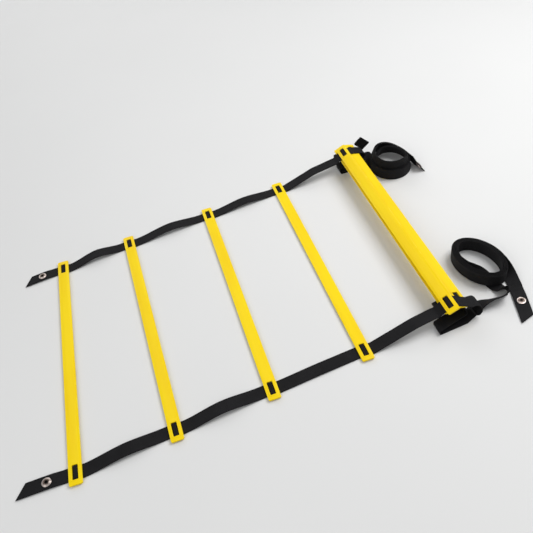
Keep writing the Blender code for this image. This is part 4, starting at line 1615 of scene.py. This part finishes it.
@dataclass(frozen=True)
class CharcoalWebbing:
    """Woven webbing: cords along the strap, picked across by finer yarns."""

    colour: tuple[float, float, float] = (0.0055, 0.0053, 0.0060)
    # Lighter colour, partly a painted highlight on the raised yarns and partly real wear and dust
    yarn_highlight_and_wear: tuple[float, float, float] = (0.0150, 0.0145, 0.0165)
    ribs: int = WEBBING_RIBS
    picks_per_width: float = 17.0
    roughness: tuple[float, float] = (0.62, 0.86)
    yarn_height: float = 0.00011
    sheen: float = 0.02
    sheen_roughness: float = 0.40
    shine: float = 0.17

    def yarn(self, plan: NodePlan) -> bpy.types.NodeSocket:
        """The yarns that cross the cords, slanting one way and back on each.

        Args:
            plan: The material.

        Returns:
            Their height's socket, from 0 to 1.
        """
        across, along, _ = plan.parts(plan.own_map("webbing"))
        cord = plan.math("MULTIPLY", across, float(self.ribs))
        number = plan.math("FLOOR", cord)
        within = plan.math("ABSOLUTE", plan.math("SUBTRACT", plan.math("FRACT", cord), 0.5))
        slant = plan.math("ADD", plan.math("MULTIPLY", number, 0.5), within)
        count = plan.math("ADD", plan.math("MULTIPLY", along, self.picks_per_width), slant)
        wave = plan.math("SINE", plan.math("MULTIPLY", count, 2 * math.pi))
        return plan.math("ADD", plan.math("MULTIPLY", wave, 0.5), 0.5)

    def material(self) -> bpy.types.Material:
        """The cloth as nodes.

        Returns:
            The material.
        """
        plan = NodePlan("charcoal_webbing")
        place = plan.object_place()
        yarn = self.yarn(plan)
        fuzz = plan.noise(place, 1900.0, 3.0)
        wear = plan.noise(place, 38.0, 5.0)
        height = plan.math("ADD", yarn, plan.math("MULTIPLY", fuzz, 0.5))
        # Painted highlight on the raised yarns, made patchy by the wear noise, which stands for real wear
        # and dust
        share = plan.math("MULTIPLY", plan.ranged(wear, 0.3, 0.75, 0.25, 1.0), plan.ranged(yarn, 0.2, 1.0))
        plan.link(plan.mixed(share, self.colour, self.yarn_highlight_and_wear), plan.shader.inputs["Base Color"])
        plan.link(plan.ranged(fuzz, 0.3, 0.7, *self.roughness), plan.shader.inputs["Roughness"])
        plan.bump(height, self.yarn_height, 0.8)
        plan.constants(Sheen_Weight=self.sheen, Sheen_Roughness=self.sheen_roughness)
        plan.constants(Specular_IOR_Level=self.shine)
        return plan.material


@dataclass(frozen=True)
class NickelPlate:
    """Nickel plate: a bright outer ring, painted shade darkening everything inside it, and near-black
    painted shade in the mouth.
    """

    colour: tuple[float, float, float] = (0.66, 0.57, 0.53)
    tarnish: tuple[float, float, float] = (0.50, 0.42, 0.37)
    # Dark colour painted as shade over the inner slopes and lip, towards the hole
    inner_shade: tuple[float, float, float] = (0.17, 0.13, 0.11)
    # Near-black colour painted as shade in the mouth of the socket and on the post's head
    mouth: tuple[float, float, float] = (0.010, 0.009, 0.009)
    roughness: tuple[float, float] = (0.30, 0.42)
    # Where the painted shade inside the ring and the painted shade of the mouth start and are at their
    # darkest, in mm from the axis
    inner_shade_radii: tuple[float, float] = (4.6, 3.9)
    mouth_shade_radii: tuple[float, float] = (2.6, 2.3)
    rings_per_mm: float = 14.0
    ring_height: float = 0.00001

    def material(self) -> bpy.types.Material:
        """The metal as nodes, by the distance from the stud's axis in millimetres.

        Returns:
            The material.
        """
        plan = NodePlan("nickel_plate")
        radius = plan.parts(plan.own_map("stud"))[0]
        cloud = plan.noise(plan.object_place(), 420.0, 5.0)
        tint = plan.mixed(plan.ranged(cloud, 0.45, 0.8), self.colour, self.tarnish)
        # Painted shade: everything inside the bright ring is darkened towards the hole
        tint = plan.mixed(plan.ranged(radius, *self.inner_shade_radii), tint, self.inner_shade)
        # Painted shade: the mouth and the post's head are made near black, as if in the hole's shadow
        tint = plan.mixed(plan.ranged(radius, *self.mouth_shade_radii), tint, self.mouth)
        plan.link(tint, plan.shader.inputs["Base Color"])
        plan.link(plan.ranged(cloud, 0.3, 0.75, *self.roughness), plan.shader.inputs["Roughness"])
        rings = plan.math("SINE", plan.math("MULTIPLY", radius, self.rings_per_mm))
        plan.bump(rings, self.ring_height, 0.2)
        plan.constants(Metallic=1.0)
        return plan.material


class Lamp(NamedTuple):
    """A square soft lamp: its name, place, side and power."""

    name: str
    place: tuple[float, float, float]
    size: float
    watts: float


@dataclass
class Studio:
    """A pale floor, soft lamps and the camera."""

    focal_px: float = 630.4
    frame_px: float = 533.0
    sensor: float = 36.0
    yaw: float = math.radians(8.59)
    pitch: float = math.radians(45.0)
    roll: float = math.radians(-11.41)
    eye: tuple[float, float, float] = (-0.0721, -0.6893, 0.7260)
    floor_side: float = 24.0
    floor_gap: float = 0.0003
    floor_colour: tuple[float, float, float] = (0.74, 0.74, 0.735)
    floor_shade: float = 0.985
    floor_roughness: float = 0.75
    aim: tuple[float, float, float] = (0.05, 0.0, 0.0)
    lamps: tuple[Lamp, ...] = (
        Lamp("key_lamp", (1.25, 0.15, 1.55), 1.1, 26.0),
        Lamp("fill_lamp", (-1.5, -1.1, 1.3), 1.4, 11.0),
        Lamp("back_lamp", (-0.3, 1.9, 1.2), 1.4, 10.0),
    )
    surround_colour: tuple[float, float, float] = (0.93, 0.94, 0.95)
    surround_strength: float = 0.42

    def camera(self) -> None:
        """The camera at the photograph's angle."""
        data = bpy.data.cameras.new("camera")
        data.lens = self.sensor * self.focal_px / self.frame_px
        data.sensor_width = self.sensor
        data.clip_start, data.clip_end = 0.01, 50.0
        camera = bpy.data.objects.new("camera", data)
        bpy.context.scene.collection.objects.link(camera)
        level, fall = math.cos(self.pitch), math.sin(self.pitch)
        ahead = Vector((math.sin(self.yaw) * level, math.cos(self.yaw) * level, -fall))
        right = Vector((math.cos(self.yaw), -math.sin(self.yaw), 0))
        up = right.cross(ahead)
        side = math.cos(self.roll) * right + math.sin(self.roll) * up
        top = -math.sin(self.roll) * right + math.cos(self.roll) * up
        turned = Matrix((side, top, -ahead)).transposed().to_4x4()
        camera.matrix_world = Matrix.Translation(self.eye) @ turned
        bpy.context.scene.camera = camera

    def floor(self) -> None:
        """A wide pale floor, faintly clouded."""
        Hands.clear()
        bpy.ops.mesh.primitive_plane_add(size=self.floor_side, location=(0, 0, -self.floor_gap))
        floor = Hands.named("floor")
        plan = NodePlan("pale_floor")
        cloud = plan.ranged(plan.noise(plan.object_place(), 2.0, 3.0), 0.3, 0.7)
        darker = tuple(self.floor_shade * value for value in self.floor_colour)
        plan.link(plan.mixed(cloud, self.floor_colour, darker), plan.shader.inputs["Base Color"])
        plan.constants(Roughness=self.floor_roughness)
        floor.data.materials.append(plan.material)

    def hang(self, lamp: Lamp) -> None:
        """Hangs a lamp and aims it at the ladder.

        Args:
            lamp: The lamp.
        """
        data = bpy.data.lights.new(lamp.name, "AREA")
        data.shape = "SQUARE"
        data.size = lamp.size
        data.energy = lamp.watts
        hung = bpy.data.objects.new(lamp.name, data)
        hung.location = lamp.place
        way = Vector(self.aim) - Vector(lamp.place)
        hung.rotation_euler = way.to_track_quat("-Z", "Y").to_euler()
        bpy.context.scene.collection.objects.link(hung)

    def set_up(self) -> None:
        """Camera, floor, lamps and the pale surround."""
        self.camera()
        self.floor()
        for lamp in self.lamps:
            self.hang(lamp)
        world = bpy.data.worlds.new("surround")
        world.use_nodes = True
        background = world.node_tree.nodes["Background"]
        background.inputs["Color"].default_value = (*self.surround_colour, 1)
        background.inputs["Strength"].default_value = self.surround_strength
        bpy.context.scene.world = world
        bpy.context.scene.view_settings.view_transform = "Standard"


class LaidStrap(NamedTuple):
    """A whole strap: its run, its two ends, and where and which way the right end starts."""

    side: Side
    run: StrapRun
    left: StrapEnd
    right: StrapEnd
    start: Vector
    heading: Vector
    hinge: float


@dataclass
class Straps:
    """Both webbing straps, cut into the pieces that the joints move."""

    layout: LadderLayout
    webbing: Webbing
    cloth: bpy.types.Material
    fold_reach: float = 0.0060
    tab_reach: float = 0.0040
    past_fold: float = 0.0004
    short_of_fold: float = 0.0010
    past_rung: float = 0.0015
    first_rung_reach: float = 0.0045
    bight_foot: tuple[float, float, float] = (0.2815, 0.2315, 0.0250)
    bight_lean: tuple[float, float, float] = (0.611, -0.230, 0.758)
    bight_level: tuple[float, float, float] = (-0.619, 0.175, 0.765)
    bight_length: float = 0.0180
    bight_half: float = 0.0014
    bight_steps: int = 4
    # The bight up to its top: shares of its length and of half its depth
    bight_shape: tuple[tuple[float, float], ...] = (
        (0.0, 1.0), (0.5, 1.0), (0.88, 1.0), (1.0, 0.75), (1.04, 0.0),
    )
    seats: dict[str, Matrix] = field(default_factory=dict)
    left_ends: dict[Side, StrapEnd] = field(
        default_factory=lambda: {
            Side.FRONT: StrapEnd(0.0580, 0.41, drift=-0.0008),
            Side.BACK: StrapEnd(0.0470, 0.475, drift=-0.0050),
        }
    )
    right_ends: dict[Side, StrapEnd] = field(
        default_factory=lambda: {
            Side.FRONT: StrapEnd(0.0623, 0.478),
            Side.BACK: StrapEnd(0.0240, 0.65, slant=0.0060),
        }
    )

    def left_end(self, side: Side) -> tuple[list[Station], StrapEnd]:
        """A strap's left end.

        Args:
            side: The strap.

        Returns:
            The stations from its tip to its hinge line, and the end with its true length.
        """
        given = self.left_ends[side]
        way = Vector((-given.length, given.drift, 0))
        end = StrapEnd(way.length, given.stud_share)
        heading = way.normalized()
        stations = end.flat(self.layout.tab_fold(side), heading, -UP.cross(heading))
        return stations[::-1], end

    def strap(self, side: Side) -> LaidStrap:
        """Routes a strap from tip to tip.

        Args:
            side: The strap.

        Returns:
            The strap.
        """
        route = StrapRoute(side, self.layout)
        tab, left = self.left_end(side)
        laid, bundle = route.laid(), route.bundle()
        top = self.layout.folded_rungs()[0].middle
        coil = FrontCoil(top) if side is Side.FRONT else BackCoil(top)
        wound = coil.stations(bundle[-1])
        start, right = wound[-1].place, self.right_ends[side]
        tail = coil.tail(start, right)
        run = StrapRun(tab + laid[1:] + bundle[1:] + wound + tail[1:])
        hinge = float(run.arcs[-1]) - float(StrapRun(tail).arcs[-1])
        return LaidStrap(side, run, left, right, start, coil.heading, hinge)

    def dress(self, piece: bpy.types.Object) -> bpy.types.Object:
        """Gives a piece its cloth."""
        Hands.dress(piece, self.cloth)
        return piece

    def lay_section(self, strap: LaidStrap, number: int, before: float) -> float:
        """Lays the strap from one fold past a laid rung and over the next fold.

        Args:
            strap: The strap.
            number: The rung's number from the left.
            before: The arc where the last piece ended.

        Returns:
            The arc where this one ends.
        """
        run, label = strap.run, strap.side.label
        node = f"{label}_strap_section_{number}"
        rungs = self.layout.laid_rungs()
        window = rungs[number - 1].window(strap.side)
        fold = self.layout.fold(strap.side, number - 1)
        at_rung, at_fold = run.arc_at(window.x), run.arc_at(fold.x - self.fold_reach)
        piece = self.webbing.lay(f"{node}_left", run, before, at_rung)
        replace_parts(self.dress(piece), node)
        low = Vector((run.place_at(before).x + self.past_fold, window.y, window.z))
        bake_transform(piece)
        piece = self.webbing.lay(f"{node}_right", run, at_rung, at_fold)
        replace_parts(self.dress(piece), node)
        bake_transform(piece)
        if number == len(rungs):
            return at_fold
        past_fold = run.arc_at(fold.x + self.fold_reach)
        piece = self.webbing.lay(f"{label}_strap_fold_{number}", run, at_fold, past_fold)
        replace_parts(self.dress(piece), node)
        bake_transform(piece)
        return past_fold

    def build_side(self, side: Side) -> None:
        """Builds one strap's pieces and notes where its studs sit.

        Args:
            side: The strap.
        """
        strap = self.strap(side)
        run, hinge, label = strap.run, strap.hinge, side.label
        tab_fold, reach = self.layout.tab_fold(side), Vector((self.tab_reach, 0, 0))
        arc = run.arc_at(tab_fold.x + self.tab_reach)
        piece = self.webbing.lay(f"{label}_left_end_strap", run, 0.0, arc, tip_at_start=strap.left.slant)
        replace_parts(self.dress(piece), f"{label}_tab")
        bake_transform(piece)
        last = len(self.layout.turns_deg)
        for number in range(1, last + 1):
            arc = self.lay_section(strap, number, arc)
        piece = self.webbing.lay(f"{label}_folded_and_wound_strap", run, arc, hinge - self.tab_reach)
        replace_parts(self.dress(piece), f"{label}_strap_bundle", f"{label}_link", f"{label}_coil")
        fold, span = self.layout.fold(side, last - 1), Vector((self.fold_reach, 0, 0))
        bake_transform(piece)
        start, total = hinge - self.tab_reach, float(run.arcs[-1])
        piece = self.webbing.lay(f"{label}_right_end_strap", run, start, total, tip_at_end=strap.right.slant)
        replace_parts(self.dress(piece), f"{label}_tail")
        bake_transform(piece)
        left_stud = run.arc_at(tab_fold.x - strap.left.length * strap.left.stud_share)
        self.seats[f"{label}_left"] = run.seat_at(left_stud)
        self.seats[f"{label}_right"] = run.seat_at(hinge + strap.right.length * strap.right.stud_share)
        LOG.info("%s strap: %.3f m of webbing in %d cross-sections", label, total, len(run.arcs))

    def bight(self) -> None:
        """The small bight of the back strap that stands up behind the folded rungs."""
        foot = Vector(self.bight_foot)
        lean, level = Vector(self.bight_lean).normalized(), Vector(self.bight_level)
        across = (level - lean * level.dot(lean)).normalized()
        depth = lean.cross(across) * self.bight_half
        shape = [*self.bight_shape, *((up, -aside) for up, aside in self.bight_shape[-2::-1])]
        up_and_down = [foot + lean * self.bight_length * up + depth * aside for up, aside in shape]
        stations = [Station(place, across) for place in up_and_down]
        run = StrapRun(StrapCurve.smooth(stations, self.bight_steps))
        piece = self.webbing.lay("back_strap_bight", run, 0.0, float(run.arcs[-1]))
        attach(self.dress(piece), "bundle")
        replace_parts(piece, "back_strap_bundle")

    def build(self) -> None:
        """Builds both straps."""
        for side in Side:
            self.build_side(side)
        self.bight()


@dataclass
class Rungs:
    """The eight rungs, copied from one."""

    layout: LadderLayout
    plastic: bpy.types.Material

    def build(self) -> None:
        """Places the rungs, each on its body."""
        pattern = Hands.dress(Rung().pattern(), self.plastic)
        laid, folded = self.layout.laid_rungs(), self.layout.folded_rungs()
        for rung in laid + folded:
            piece = Hands.copy(pattern, f"{rung.name}_moulding", rung.matrix())
            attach(piece, f"laid_{rung.name}" if rung in laid else "bundle")
            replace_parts(piece, rung.name)
            LOG.info("%s placed", rung.name)
        bpy.data.objects.remove(pattern, do_unlink=True)


@dataclass
class Studs:
    """The press studs, each on its strap's end."""

    metal: bpy.types.Material
    seats: dict[str, Matrix]

    def build(self) -> None:
        """Turns one socket and one cap and seats their copies."""
        stud = PressStud()
        rise = Matrix.Translation((0, 0, HALF_THICKNESS + CLEARANCE))
        socket = stud.turn("socket_pattern", stud.socket_profile, True)
        cap = stud.turn("cap_pattern", stud.cap_profile, False)
        patterns = {"socket": (socket, rise), "cap": (cap, Matrix.Identity(4))}
        for label, seat in self.seats.items():
            for part, (pattern, lift) in patterns.items():
                piece = Hands.copy(pattern, f"{label}_press_stud_{part}", seat @ lift)
                Hands.dress(piece, self.metal)
                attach(piece, f"{label}_end")
                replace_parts(piece, f"{label}_stud_{part}")
            LOG.info("%s press stud seated", label)
        for pattern, _ in patterns.values():
            bpy.data.objects.remove(pattern, do_unlink=True)


def main() -> None:
    """Sets up the studio and builds the ladder's pieces in order."""
    logging.basicConfig(level=logging.INFO, format="%(name)s: %(message)s")
    Studio().set_up()
    layout = LadderLayout()
    Rungs(layout, YellowPlastic().material()).build()
    straps = Straps(layout, Webbing(), CharcoalWebbing().material())
    straps.build()
    Studs(NickelPlate().material(), straps.seats).build()
    bpy.context.view_layer.update()


if __name__ == "__main__":
    main()
